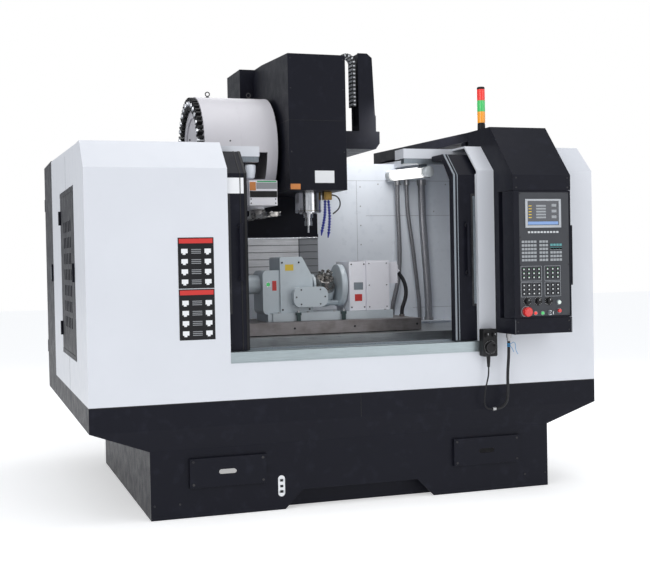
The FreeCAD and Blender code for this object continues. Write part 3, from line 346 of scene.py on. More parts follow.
cords = {"hangingHoseA": {"node": "hose_a", "size": 0.032, "length": 0.979, "look": hoseBraid,
    "slot": "hose_grey", "route": [(0.868, 0.525, 1.950), (0.868, 0.525, 1.790), (0.876, 0.523, 1.600),
    (0.877, 0.519, 1.420), (0.866, 0.519, 1.270), (0.837, 0.523, 1.150), (0.813, 0.525, 1.060), (0.813,
    0.525, 0.978)]}, "hangingHoseB": {"node": "hose_b", "size": 0.028, "length": 0.977, "look": hoseBraid,
    "slot": "hose_grey", "route": [(0.943, 0.527, 1.950), (0.943, 0.527, 1.800), (0.962, 0.523, 1.640),
    (0.982, 0.519, 1.490), (1.000, 0.519, 1.320), (1.018, 0.523, 1.170), (1.030, 0.527, 1.070), (1.030,
    0.527, 0.978)]}, "hangingHoseC": {"node": "hose_c", "size": 0.054, "length": 0.973, "look": hoseSteel,
    "slot": "hose_grey", "route": [(1.064, 0.531, 1.950), (1.064, 0.531, 1.780), (1.072, 0.527, 1.600),
    (1.083, 0.524, 1.420), (1.092, 0.524, 1.260), (1.102, 0.527, 1.110), (1.102, 0.527, 0.978)]},
    "tableHose": {"node": "table_hose", "size": 0.026, "length": 0.304, "look": hoseRubber,
    "slot": "cord_black", "body": "table", "route": [(0.611, -0.085, 1.322), (0.641, -0.086, 1.287), (0.660,
    -0.088, 1.245), (0.668, -0.090, 1.200), (0.664, -0.092, 1.154), (0.649, -0.093, 1.112), (0.633, -0.093,
    1.074), (0.633, -0.093, 1.039)]}, "pendantConduit": {"node": "pendant_conduit", "size": 0.018,
    "length": 0.451, "look": conduitBlack, "slot": "cord_black", "end": "fitting", "route": [(0.928, -1.045,
    0.905), (0.928, -1.045, 0.850), (0.924, -1.046, 0.790), (0.919, -1.045, 0.730), (0.917, -1.045, 0.670),
    (0.919, -1.044, 0.610), (0.915, -1.042, 0.553), (0.897, -1.040, 0.521), (0.866, -1.037, 0.503), (0.838,
    -1.037, 0.503)]}, "pendantCable": {"node": "pendant_cable", "size": 0.009, "length": 0.290,
    "look": conduitBlack, "slot": "cord_black", "stiffness": "limp", "route": [(0.818, -1.037, 0.503),
    (0.793, -1.037, 0.503), (0.777, -1.036, 0.512), (0.768, -1.035, 0.528), (0.767, -1.032, 0.557), (0.774,
    -1.030, 0.606), (0.788, -1.027, 0.660), (0.802, -1.025, 0.706), (0.802, -1.025, 0.753)]}, }


def makeCord(name, facts):
    curve = bpy.data.curves.new(name, "CURVE")
    curve.dimensions = "3D"
    spline = curve.splines.new("NURBS")
    spline.points.add(len(facts["route"]) - 1)
    for point, place in zip(spline.points, facts["route"]):
        point.co = (*place, 1)
    spline.order_u = 3
    spline.use_endpoint_u = True
    curve.resolution_u = 16
    curve.bevel_depth = facts["size"] / 2
    curve.bevel_resolution = 6
    curve.use_fill_caps = True
    curve.materials.append(facts["look"])
    piece = bpy.data.objects.new(name, curve)
    bpy.context.scene.collection.objects.link(piece)
    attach(piece, facts.get("body", "machine"))
    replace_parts(piece, facts["node"])
    return piece


for cordName, cordFacts in cords.items():
    makeCord(cordName, cordFacts)
print("cords laid:", len(cords))



# mesh helpers; every piece stands in place with its object at the origin

def place(name, mesh, look, body, slotName, smooth=False):
    mesh.name = name
    mesh.materials.clear()
    for item in look if isinstance(look, (list, tuple)) else [look]:
        mesh.materials.append(item)
    if smooth:
        for face in mesh.polygons:
            face.use_smooth = True
        mesh.set_sharp_from_angle(angle=math.radians(35))
    piece = bpy.data.objects.new(name, mesh)
    bpy.context.scene.collection.objects.link(piece)
    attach(piece, body)
    return piece


def addBlock(shape, x0, x1, y0, y1, z0, z1, bevel=1.0, turn=None, steps=2):
    made = bmesh.ops.create_cube(shape, size=1.0)["verts"]
    low, high = at(x0, y0, z0), at(x1, y1, z1)
    middle, size = (low + high) / 2, high - low
    for vert in made:
        vert.co = Vector(vert.co[i] * size[i] for i in range(3))
    edges = list({edge for vert in made for edge in vert.link_edges})
    width = min(bevel / 1000, min(size) * 0.45)
    if width > 0:
        result = bmesh.ops.bevel(shape, geom=edges, offset=width, segments=steps, profile=0.6, affect="EDGES")
        made = list({vert for face in result["faces"] for vert in face.verts} |
                    {vert for vert in made if vert.is_valid})
    for vert in made:
        vert.co = (turn @ vert.co if turn else vert.co) + middle
    return made


def blocks(name, boxes, look, body, slotName, bevel=1.0, steps=2):
    shape = bmesh.new()
    for values in boxes:
        addBlock(shape, *values, bevel=bevel, steps=steps)
    mesh = bpy.data.meshes.new(name)
    shape.to_mesh(mesh)
    shape.free()
    return place(name, mesh, look, body, slotName)


def latheMesh(profile, around=40):
    # profile of (radius, height) in mm turned about Z, closed at both ends; flat, sharp faces stay sharp
    shape = bmesh.new()
    rings = []
    for radius, height in profile:
        if radius <= 0:
            rings.append([shape.verts.new((0, 0, height / 1000))])
            continue
        rings.append([shape.verts.new((radius / 1000 * math.cos(2 * math.pi * i / around),
            radius / 1000 * math.sin(2 * math.pi * i / around), height / 1000)) for i in range(around)])
    for lower, upper in zip(rings, rings[1:]):
        for i in range(around):
            j = (i + 1) % around
            if len(lower) == 1 and len(upper) == 1:
                continue
            if len(lower) == 1:
                shape.faces.new((lower[0], upper[j], upper[i]))
            elif len(upper) == 1:
                shape.faces.new((lower[i], lower[j], upper[0]))
            else:
                shape.faces.new((lower[i], lower[j], upper[j], upper[i]))
    for ring, backwards in ((rings[0], True), (rings[-1], False)):
        if len(ring) > 1:
            shape.faces.new(ring[::-1] if backwards else ring)
    bmesh.ops.recalc_face_normals(shape, faces=shape.faces)
    mesh = bpy.data.meshes.new("turned")
    shape.to_mesh(mesh)
    shape.free()
    return mesh


def turned(name, profile, x, y, z, axis, look, body, slotName, around=40):
    mesh = latheMesh(profile, around)
    turn = Vector((0, 0, 1)).rotation_difference(Vector(axis)).to_matrix().to_4x4()
    mesh.transform(Matrix.Translation(at(x, y, z)) @ turn)
    return place(name, mesh, look, body, slotName, smooth=True)


def joined(name, meshes, look, body, slotName, smooth=False):
    shape = bmesh.new()
    for mesh in meshes:
        shape.from_mesh(mesh)
        bpy.data.meshes.remove(mesh)
    whole = bpy.data.meshes.new(name)
    shape.to_mesh(whole)
    shape.free()
    return place(name, whole, look, body, slotName, smooth)


def turnedMesh(profile, x, y, z, axis, around=24):
    mesh = latheMesh(profile, around)
    turn = Vector((0, 0, 1)).rotation_difference(Vector(axis)).to_matrix().to_4x4()
    mesh.transform(Matrix.Translation(at(x, y, z)) @ turn)
    return mesh


def strip(name, outline, x0, x1, look, body, slotName):
    # an outline in the Y-Z plane, in mm, swept from x0 to x1
    shape = bmesh.new()
    near = [shape.verts.new(at(x0, y, z)) for y, z in outline]
    far = [shape.verts.new(at(x1, y, z)) for y, z in outline]
    count = len(outline)
    for i in range(count):
        j = (i + 1) % count
        shape.faces.new((near[i], near[j], far[j], far[i]))
    shape.faces.new(near)
    shape.faces.new(far[::-1])
    bmesh.ops.recalc_face_normals(shape, faces=shape.faces)
    mesh = bpy.data.meshes.new(name)
    shape.to_mesh(mesh)
    shape.free()
    return place(name, mesh, look, body, slotName)


# Geometry Nodes: a grid of items, a ring of items, and items along a path

def nodeTree(name, inputs):
    tree = bpy.data.node_groups.new(name, "GeometryNodeTree")
    tree.interface.new_socket(name="Geometry", in_out="OUTPUT", socket_type="NodeSocketGeometry")
    for label, kind in inputs.items():
        tree.interface.new_socket(name=label, in_out="INPUT", socket_type=kind)
    return tree, tree.nodes.new("NodeGroupInput"), tree.nodes.new("NodeGroupOutput")


def endTree(tree, into, out, points, rotation=None):
    item = tree.nodes.new("GeometryNodeObjectInfo")
    item.inputs["As Instance"].default_value = True
    tree.links.new(into.outputs["Item"], item.inputs["Object"])
    copies = tree.nodes.new("GeometryNodeInstanceOnPoints")
    tree.links.new(points, copies.inputs["Points"])
    tree.links.new(item.outputs["Geometry"], copies.inputs["Instance"])
    if rotation:
        tree.links.new(rotation, copies.inputs["Rotation"])
    real = tree.nodes.new("GeometryNodeRealizeInstances")
    colored = tree.nodes.new("GeometryNodeSetMaterial")
    tree.links.new(copies.outputs["Instances"], real.inputs["Geometry"])
    tree.links.new(real.outputs["Geometry"], colored.inputs["Geometry"])
    tree.links.new(into.outputs["Finish"], colored.inputs["Material"])
    tree.links.new(colored.outputs["Geometry"], out.inputs["Geometry"])


def makeGridTree():
    tree, into, out = nodeTree("itemGrid", {
        "Item": "NodeSocketObject", "Finish": "NodeSocketMaterial", "Columns": "NodeSocketInt",
        "Rows": "NodeSocketInt", "Column Step": "NodeSocketVector", "Row Step": "NodeSocketVector"})
    lines = []
    for count, step in (("Columns", "Column Step"), ("Rows", "Row Step")):
        line = tree.nodes.new("GeometryNodeMeshLine")
        line.mode = "OFFSET"
        tree.links.new(into.outputs[count], line.inputs["Count"])
        tree.links.new(into.outputs[step], line.inputs["Offset"])
        lines.append(line)
    both = tree.nodes.new("GeometryNodeInstanceOnPoints")
    tree.links.new(lines[1].outputs["Mesh"], both.inputs["Points"])
    tree.links.new(lines[0].outputs["Mesh"], both.inputs["Instance"])
    flat = tree.nodes.new("GeometryNodeRealizeInstances")
    tree.links.new(both.outputs["Instances"], flat.inputs["Geometry"])
    endTree(tree, into, out, flat.outputs["Geometry"])
    return tree


def makeRingTree():
    tree, into, out = nodeTree("itemRing", {
        "Item": "NodeSocketObject", "Finish": "NodeSocketMaterial", "Count": "NodeSocketInt",
        "Radius": "NodeSocketFloat", "From Angle": "NodeSocketFloat", "Angle Step": "NodeSocketFloat"})
    line = tree.nodes.new("GeometryNodeMeshLine")
    tree.links.new(into.outputs["Count"], line.inputs["Count"])
    index = tree.nodes.new("GeometryNodeInputIndex")
    angle = math2(tree, "MULTIPLY_ADD", index.outputs[0], into.outputs["Angle Step"])
    tree.links.new(into.outputs["From Angle"], angle.node.inputs[2])
    spot = tree.nodes.new("ShaderNodeCombineXYZ")
    tree.links.new(math2(tree, "MULTIPLY", math2(tree, "COSINE", angle, 0.0), into.outputs["Radius"]),
                   spot.inputs["X"])
    tree.links.new(math2(tree, "MULTIPLY", math2(tree, "SINE", angle, 0.0), into.outputs["Radius"]),
                   spot.inputs["Y"])
    moved = tree.nodes.new("GeometryNodeSetPosition")
    tree.links.new(line.outputs["Mesh"], moved.inputs["Geometry"])
    tree.links.new(spot.outputs["Vector"], moved.inputs["Position"])
    facing = tree.nodes.new("ShaderNodeCombineXYZ")
    tree.links.new(angle, facing.inputs["Z"])
    turn = tree.nodes.new("FunctionNodeEulerToRotation")
    tree.links.new(facing.outputs["Vector"], turn.inputs[0])
    endTree(tree, into, out, moved.outputs["Geometry"], turn.outputs[0])
    return tree


def makePathTree():
    tree, into, out = nodeTree("itemsAlongPath", {
        "Item": "NodeSocketObject", "Path": "NodeSocketObject", "Finish": "NodeSocketMaterial",
        "Count": "NodeSocketInt"})
    path = tree.nodes.new("GeometryNodeObjectInfo")
    tree.links.new(into.outputs["Path"], path.inputs["Object"])
    spots = tree.nodes.new("GeometryNodeCurveToPoints")
    spots.mode = "COUNT"
    tree.links.new(path.outputs["Geometry"], spots.inputs["Curve"])
    tree.links.new(into.outputs["Count"], spots.inputs["Count"])
    endTree(tree, into, out, spots.outputs["Points"], spots.outputs["Rotation"])
    return tree


trees = {"grid": makeGridTree(), "ring": makeRingTree(), "path": makePathTree()}


def grown(kind, item, **values):
    # runs one of the trees and gives back a plain mesh
    stand = bpy.data.meshes.new("stand")
    holder = bpy.data.objects.new("holder", stand)
    bpy.context.scene.collection.objects.link(holder)
    modifier = holder.modifiers.new("grow", "NODES")
    modifier.node_group = trees[kind]
    sockets = {socket.name: socket.identifier for socket in trees[kind].interface.items_tree
               if socket.in_out == "INPUT"}
    modifier[sockets["Item"]] = item
    for label, value in values.items():
        modifier[sockets[label.replace("_", " ")]] = value
    view = bpy.context.evaluated_depsgraph_get()
    mesh = bpy.data.meshes.new_from_object(holder.evaluated_get(view))
    bpy.data.objects.remove(holder)
    bpy.data.meshes.remove(stand)
    return mesh


def part(mesh):
    item = bpy.data.objects.new("item", mesh)
    bpy.context.scene.collection.objects.link(item)
    return item


def drop(item):
    data = item.data
    bpy.data.objects.remove(item)
    if isinstance(data, bpy.types.Mesh):
        bpy.data.meshes.remove(data)


def screwMesh(radius=4.0, height=2.5, socket=True):
    # cap screw that faces -Y
    top = [(radius, 0), (radius, height * 0.75), (radius * 0.85, height)]
    if socket:
        top += [(radius * 0.5, height), (radius * 0.5, height * 0.35)]
    mesh = latheMesh(top, 12)
    mesh.transform(Matrix.Rotation(math.radians(90), 4, "X"))
    return mesh


def blockMesh(width, depth, height, bevel):
    # a small block about the origin whose back face lies on y = 0
    shape = bmesh.new()
    half = frontToMiddle
    addBlock(shape, -width / 2, width / 2, half - depth, half, -height / 2, height / 2, bevel=bevel, steps=1)
    mesh = bpy.data.meshes.new("block")
    shape.to_mesh(mesh)
    shape.free()
    return mesh


def gridOf(name, mesh, x, y, z, columns, rows, columnStep, rowStep, look, body, slotName):
    item = part(mesh)
    made = grown("grid", item, Columns=columns, Rows=rows, Column_Step=tuple(v / 1000 for v in columnStep),
                 Row_Step=tuple(v / 1000 for v in rowStep), Finish=look)
    drop(item)
    made.transform(Matrix.Translation(at(x, y, z)))
    return place(name, made, look, body, slotName)


def screwsAt(name, spots, look, body, slotName, radius=4.0, height=2.5, axis=(0, -1, 0)):
    # screws at given spots, from the same tree with one column and one row each
    turn = Vector((0, -1, 0)).rotation_difference(Vector(axis)).to_matrix().to_4x4()
    meshes = []
    item = part(screwMesh(radius, height))
    item.data.transform(turn)
    for x, y, z, columns, step in spots:
        mesh = grown("grid", item, Columns=columns, Rows=1, Column_Step=tuple(v / 1000 for v in step),
                     Row_Step=(0.0, 0.0, 0.0), Finish=look)
        mesh.transform(Matrix.Translation(at(x, y, z)))
        meshes.append(mesh)
    drop(item)
    return joined(name, meshes, look, body, slotName)


def ringOf(name, mesh, x, y, z, axis, count, radius, fromAngle, step, look, body, slotName):
    # items round a centre; their own +Z side faces along the axis, radius in mm, angles in degrees
    item = part(mesh)
    made = grown("ring", item, Count=count, Radius=radius / 1000, From_Angle=math.radians(fromAngle),
                 Angle_Step=math.radians(step), Finish=look)
    drop(item)
    turn = Vector((0, 0, 1)).rotation_difference(Vector(axis)).to_matrix().to_4x4()
    made.transform(Matrix.Translation(at(x, y, z)) @ turn)
    return place(name, made, look, body, slotName)


def pathOf(points, smooth=False):
    curve = bpy.data.curves.new("path", "CURVE")
    curve.dimensions = "3D"
    spline = curve.splines.new("NURBS" if smooth else "POLY")
    spline.points.add(len(points) - 1)
    for point, where in zip(spline.points, points):
        point.co = (*at(*where), 1)
    if smooth:
        spline.order_u = 3
        spline.use_endpoint_u = True
        curve.resolution_u = 24
    return part(curve)


def alongPath(name, mesh, path, count, look, body, slotName):
    item = part(mesh)
    made = grown("path", item, Path=path, Count=count, Finish=look)
    drop(item)
    return place(name, made, look, body, slotName)


def arcPoints(x, y, z, radius, start, end, steps, plane="XZ"):
    found = []
    for i in range(steps + 1):
        a = math.radians(start + (end - start) * i / steps)
        if plane == "XZ":
            found.append((x + radius * math.cos(a), y, z + radius * math.sin(a)))
        else:
            found.append((x + radius * math.cos(a), y + radius * math.sin(a), z))
    return found


print("tools ready")


# finishes of the pieces whose shape is already there

nodeFinish = {
    "base_tank": black, "access_covers": black, "bed_casting": bedIron, "chip_pan": black,
    "left_front_panel": white, "right_front_panel": white, "front_sill": white, "side_panels": white,
    "vent_door": black, "roof_panels": white, "roof_duct": black, "cabin_liner": innerWhite,
    "back_panel": white, "door_track": trimGrey, "left_door": black, "right_door": black,
    "left_window": glass, "right_window": glass, "column": black, "spindle_head": chrome,
    "head_cover": black, "tool_spindle": chrome, "z_cover": black, "chain_post": black,
    "magazine_cover": drumWhite, "carousel": turnedSteel, "changer_gearbox": castingLight,
    "change_arm": turnedSteel, "saddle": bedIron, "saddle_cover": sheetSteel, "table": tableIron,
    "rotary_body": casting, "rotary_drive_box": castingLight, "tilt_cradle": casting,
    "faceplate": turnedSteel, "operator_housing": black, "operator_panel": black,
    "pendant_body": blackPlastic, "pendant_wheel": blackPlastic, "pendant_gland": screwSteel,
    "hose_fittings": screwSteel, "rear_cabinet": black, "cabinet_door": black, "emergency_stop": red,
    "feed_knob": blackPlastic, "spindle_knob": blackPlastic, "mode_knob": blackPlastic,
    "power_on_button": paleCap, "power_off_button": red, "key_switch": chrome}
softened = {"rotary_body": 3.0, "rotary_drive_box": 2.5, "tilt_cradle": 2.0, "faceplate": 1.2, "table": 1.5,
            "changer_gearbox": 2.0, "change_arm": 1.5, "head_cover": 2.0, "operator_housing": 3.0,
            "pendant_body": 2.0, "base_tank": 2.0, "left_door": 1.5, "right_door": 1.5, "chain_post": 2.0,
            "operator_panel": 1.5, "saddle_cover": 1.0, "emergency_stop": 1.0, "feed_knob": 1.2,
            "spindle_knob": 1.2, "mode_knob": 1.2, "power_on_button": 1.0, "power_off_button": 1.0,
            "pendant_wheel": 1.5, "rear_cabinet": 2.0, "roof_duct": 2.0, "access_covers": 1.0}


def finishNodes():
    for name, look in nodeFinish.items():
        for holder in nodes[name].material_slots:
            holder.material = look
    for name, width in softened.items():
        weld = nodes[name].modifiers.new("weld", "WELD")
        weld.merge_threshold = 0.00002
        edge = nodes[name].modifiers.new("softEdges", "BEVEL")
        edge.width = width / 1000
        edge.segments = 2
        edge.limit_method = "ANGLE"
        edge.angle_limit = math.radians(40)


finishNodes()
print("nodes finished:", len(nodeFinish))




# floor, walls of light

def makeStudio():
    shape = bmesh.new()
    bmesh.ops.create_grid(shape, x_segments=2, y_segments=2, size=30)
    mesh = bpy.data.meshes.new("floor")
    shape.to_mesh(mesh)
    shape.free()
    mesh.transform(Matrix.Translation((0, 0, -0.001)))
    floorLook = finish("studioFloor", "coat", (0.90, 0.90, 0.90), 0.0, second=(0.88, 0.88, 0.88), glow=0.5,
                       Grain_Scale=40.0, Clouding=0.005, Rubbing=0.05, Base_Roughness=0.75)
    mesh.materials.append(floorLook)
    floor = bpy.data.objects.new("floor", mesh)
    bpy.context.scene.collection.objects.link(floor)
    lamps = {"key": ((-4.8, -5.6, 4.6), (-0.3, 0.0, 1.2), 3.5, 92),
             "fill": ((4.2, -6.0, 2.6), (0.6, 0.0, 1.2), 4.0, 58),
             "top": ((0.3, -0.6, 6.0), (0.1, 0.2, 1.0), 4.0, 95),
             "cabin": ((0.80, -0.22, 2.40), (0.75, 0.40, 1.35), 0.6, 8),
             "back": ((2.5, 5.5, 4.5), (0.0, 0.5, 1.5), 4.0, 110)}
    for name, (spot, aim, size, power) in lamps.items():
        data = bpy.data.lights.new(name, "AREA")
        data.size = size
        data.energy = power
        lamp = bpy.data.objects.new(name, data)
        lamp.location = spot
        lamp.rotation_euler = (Vector(aim) - Vector(spot)).to_track_quat("-Z", "Y").to_euler()
        bpy.context.scene.collection.objects.link(lamp)
    world = bpy.data.worlds.new("studio")
    world.use_nodes = True
    tree = world.node_tree
    soft = tree.nodes["Background"]
    soft.inputs["Color"].default_value = (0.93, 0.96, 1.0, 1)
    soft.inputs["Strength"].default_value = 0.58
    shown = tree.nodes.new("ShaderNodeBackground")
    shown.inputs["Color"].default_value = (1, 1, 1, 1)
    rays = tree.nodes.new("ShaderNodeLightPath")
    mixed = tree.nodes.new("ShaderNodeMixShader")
    tree.links.new(rays.outputs["Is Camera Ray"], mixed.inputs[0])
    tree.links.new(soft.outputs[0], mixed.inputs[1])
    tree.links.new(shown.outputs[0], mixed.inputs[2])
    tree.links.new(mixed.outputs[0], tree.nodes["World Output"].inputs["Surface"])
    bpy.context.scene.world = world
    bpy.context.scene.view_settings.view_transform = "Standard"


makeStudio()
print("studio lit")


def bandMesh(inner, outer, height, around=48):
    # a flat ring about Z with a square section, in mm
    corners = [(inner, 0), (outer, 0), (outer, height), (inner, height)]
    shape = bmesh.new()
    rings = [[shape.verts.new((r / 1000 * math.cos(2 * math.pi * i / around),
        r / 1000 * math.sin(2 * math.pi * i / around), h / 1000)) for i in range(around)] for r,
        h in corners]
    for k in range(4):
        a, b = rings[k], rings[(k + 1) % 4]
        for i in range(around):
            j = (i + 1) % around
            shape.faces.new((a[i], a[j], b[j], b[i]))
    bmesh.ops.recalc_face_normals(shape, faces=shape.faces)
    mesh = bpy.data.meshes.new("band")
    shape.to_mesh(mesh)
    shape.free()
    return mesh


def band(name, inner, outer, height, x, y, z, axis, look, body, slotName):
    mesh = bandMesh(inner, outer, height)
    turn = Vector((0, 0, 1)).rotation_difference(Vector(axis)).to_matrix().to_4x4()
    mesh.transform(Matrix.Translation(at(x, y, z)) @ turn)
    return place(name, mesh, look, body, slotName, smooth=True)


def bentRod(name, points, diameter, look, body, slotName, smooth=True):
    path = pathOf(points, smooth)
    path.data.bevel_depth = diameter / 2000
    path.data.bevel_resolution = 4
    path.data.use_fill_caps = True
    mesh = bpy.data.meshes.new_from_object(path.evaluated_get(bpy.context.evaluated_depsgraph_get()))
    drop(path)
    return place(name, mesh, look, body, slotName, smooth=True)


# front: stainless sill, plain safety plates, level tag, cover screws

front = {"sillLow": 845, "sillTop": 905, "plateLeft": -1050, "plateWidth": 200, "plateTops": (1548, 1264),
         "plateHeight": 284, "rows": 4}


def makeFront():
    low, top = front["sillLow"], front["sillTop"]
    blocks("sillCladding", [(-765, 765, -3, 0, low, top + 3), (-765, 765, -3, 84, top, top + 3),
                            (-765, 765, -5, -3, low, low + 6)], sillSteel, "machine", "steel", 0.8)
    left, width = front["plateLeft"], front["plateWidth"]
    boards, bands, cells, grey = [], [], [], []
    for plateTop in front["plateTops"]:
        bottom = plateTop - front["plateHeight"] + 4
        boards.append((left, left + width, -1.5, 0, bottom, plateTop))
        bands.append((left + 6, left + width - 6, -2.2, -1.5, plateTop - 32, plateTop - 6))
        step = (front["plateHeight"] - 60) / front["rows"]
        for row in range(front["rows"]):
            cellTop = plateTop - 52 - row * step
            for x in (left + 18, left + 148):
                cells.append((x, x + 36, -2.2, -1.5, cellTop - step + 22, cellTop - 10))
                cells.append((x + 8, x + 24, -2.2, -1.5, cellTop - step + 14, cellTop - step + 22))
            grey += [(left + 74, left + 128, -2.0, -1.5, cellTop - drop,
                cellTop - drop + 4) for drop in (16, 26, 36)]
    blocks("safetyBoards", boards, labelBlack, "machine", "black_paint", 0.5, 1)
    blocks("safetyBands", bands, labelRed, "machine", "red_plastic", 0.3, 1)
    blocks("safetyCells", cells, labelWhite, "machine", "white_paint", 0.3, 1)
    blocks("safetyFields", grey, labelGrey, "machine", "white_paint", 0.2, 1)
    cap = [(20, 0), (20, 2.4), (18.5, 3.2)]
    shape = bmesh.new()
    addBlock(shape, -502, -462, 16.8, 20, 95, 175, 0.6)
    middle = bpy.data.meshes.new("tag")
    shape.to_mesh(middle)
    shape.free()
    joined("levelTag", [middle, turnedMesh(cap, -482, 20, 95, (0, -1, 0), 32),
                        turnedMesh(cap, -482, 20, 175, (0, -1, 0), 32)], labelWhite, "machine", "white_paint")
    blocks("levelTagSlots", [(-491, -473, 15.6, 16.8, z, z + 14) for z in (96, 127, 160)], labelBlack,
           "machine", "black_plastic", 0.5)
    screwsAt("coverScrews", [(-990, 0, 310, 2, (398, 0, 0)), (-990, 0, 184, 2, (398, 0, 0)),
                             (606, 0, 310, 2, (398, 0, 0)), (606, 0, 184, 2, (398, 0, 0))], blackScrew,
             "machine", "black_plastic", 7, 3)
    blocks("panSeams", [(-1549, 1549, -1, 0, 634, 640), (-2, 2, -0.8, 0, 500, 634)], labelBlack, "machine",
           "black_paint", 0.3, 1)
    # painted shadow: thin black strips just above and below each access cover stand for the shadow lines at
    # its edges
    shadow = [(-1014, -568, 18.6, 20, 162, 166), (582, 1028, 18.6, 20, 162, 166),
              (-1014, -568, 18.6, 20, 328, 332), (582, 1028, 18.6, 20, 328, 332)]
    blocks("coverFlanges", shadow, black, "machine", "black_paint", 0.5)


makeFront()
print("front dressed")


# doors: edge trims, window seals, bare sheet

doors = {"right": {"body": "right_door", "trims": (624, 648), "window": (750, 1290)},
         "left": {"body": "left_door", "trims": (-661, -687), "window": (-1295, -755)},
         "skin": 2.0, "seal": 12}


def makeDoor(side):
    facts = doors[side]
    t = doors["skin"]
    outline = [(34 - t, 914), (34 - t, 1905 + 0.4 * t), (172 - 0.4 * t, 2040 + t), (328, 2040 + t), (328,
        2040), (172, 2040), (34, 1905), (34, 914)]
    for number, x in enumerate(facts["trims"]):
        look = trimGrey if side == "right" else blackPlastic
        strip(side + "DoorTrim" + "AB"[number], outline, x, x + (12 if number == 0 else 5), look,
              facts["body"], "steel")
    x0, x1 = facts["window"]
    w = doors["seal"]
    blocks(side + "WindowSeal", [(x0 - w, x1 + w, 31, 34, 1780, 1780 + w), (x0 - w, x1 + w, 31, 34,
        1130 - w, 1130), (x0 - w, x0, 31, 34, 1130, 1780), (x1, x1 + w, 31, 34, 1130, 1780)], hoseRubber,
        facts["body"], "black_plastic", 1.2)
    inner = [(80, 914), (80, 1878), (83, 1878), (83, 914)]
    strip(side + "DoorInnerRail", inner, x0 - 40, x0 - 22, trimGrey, facts["body"], "steel")
    handle = -690 if side == "left" else 708
    joined(side + "HandleCaps", [turnedMesh([(12, 0), (12, 4), (10.5, 6)], handle, 34, z, (0, -1,
        0)) for z in (1320, 1605)], blackScrew, facts["body"], "black_plastic", True)


makeDoor("right")
makeDoor("left")
blocks("doorSheetLabel", [(-757, -664, 33, 34, 1792, 1880)], labelWhite, "left_door", "white_paint", 0.3)
print("doors dressed")


# vent door: raised frame, filter bars, lock

ventDoor = {"y": (545, 1395), "z": (850, 1870), "frame": 26, "pitch": 24}


def makeVentDoor():
    (y0, y1), (z0, z1), w = ventDoor["y"], ventDoor["z"], ventDoor["frame"]
    blocks("ventDoorFrame", [(-1552, -1549, y0, y1 - 14, z1 - w, z1), (-1552, -1549, y0, y1 - 14, z0, z0 + w),
                             (-1552, -1549, y0, y0 + w, z0 + w, z1 - w)], black, "vent_door", "black_paint")
    upright = blockMesh(2.5, 2.5, 960, 0.6)
    item = part(upright)
    count = int((y1 - y0 - 60) / ventDoor["pitch"]) + 1
    bars = grown("grid", item, Columns=count, Rows=1, Column_Step=(0.0, ventDoor["pitch"] / 1000, 0.0),
                 Row_Step=(0.0, 0.0, 0.0), Finish=trimGrey)
    drop(item)
    bars.transform(Matrix.Translation(at(-1532, y0 + 30, 1360)))
    item = part(blockMesh(2.5, 800, 2.5, 0.6))
    rows = int(940 / ventDoor["pitch"]) + 1
    cross = grown("grid", item, Columns=1, Rows=rows, Column_Step=(0.0, 0.0, 0.0),
                  Row_Step=(0.0, 0.0, ventDoor["pitch"] / 1000), Finish=trimGrey)
    drop(item)
    cross.transform(Matrix.Translation(at(-1532, y1 - 25, 890)))
    joined("ventFilterBars", [bars, cross], trimGrey, "vent_door", "steel")
    turned("ventLock", [(11, 0), (11, 1), (8, 2), (3, 2), (3, 0.6)], -1562, 580, 1365, (-1, 0, 0), chrome,
           "vent_door", "chrome", 20)





makeVentDoor()
print("vent door dressed")


def shapeOf(boxes, bevel=1.0):
    # small boxes about the origin, in mm, as one mesh
    shape = bmesh.new()
    for x0, x1, y0, y1, z0, z1 in boxes:
        addBlock(shape, x0, x1, y0 + frontToMiddle, y1 + frontToMiddle, z0, z1, bevel=bevel, steps=1)
    mesh = bpy.data.meshes.new("small")
    shape.to_mesh(mesh)
    shape.free()
    return mesh


def boltMesh(radius, height):
    return latheMesh([(radius, 0), (radius, height * 0.75), (radius * 0.85, height), (radius * 0.5, height),
                      (radius * 0.5, height * 0.3)], 12)


# spindle head: plain sheets on the cover, nose bolts, coolant block with jointed nozzles, apron slats

head = {"slatPitch": 50, "slatRows": 6, "slatLow": 1298, "noseBolts": 8,
        "nozzles": {"Near": [(104, 892, 1810), (103, 889, 1740), (94, 888, 1670), (78, 890, 1604)],
                    "Far": [(131, 906, 1810), (135, 902, 1740), (137, 900, 1670), (128, 902, 1590)]}}


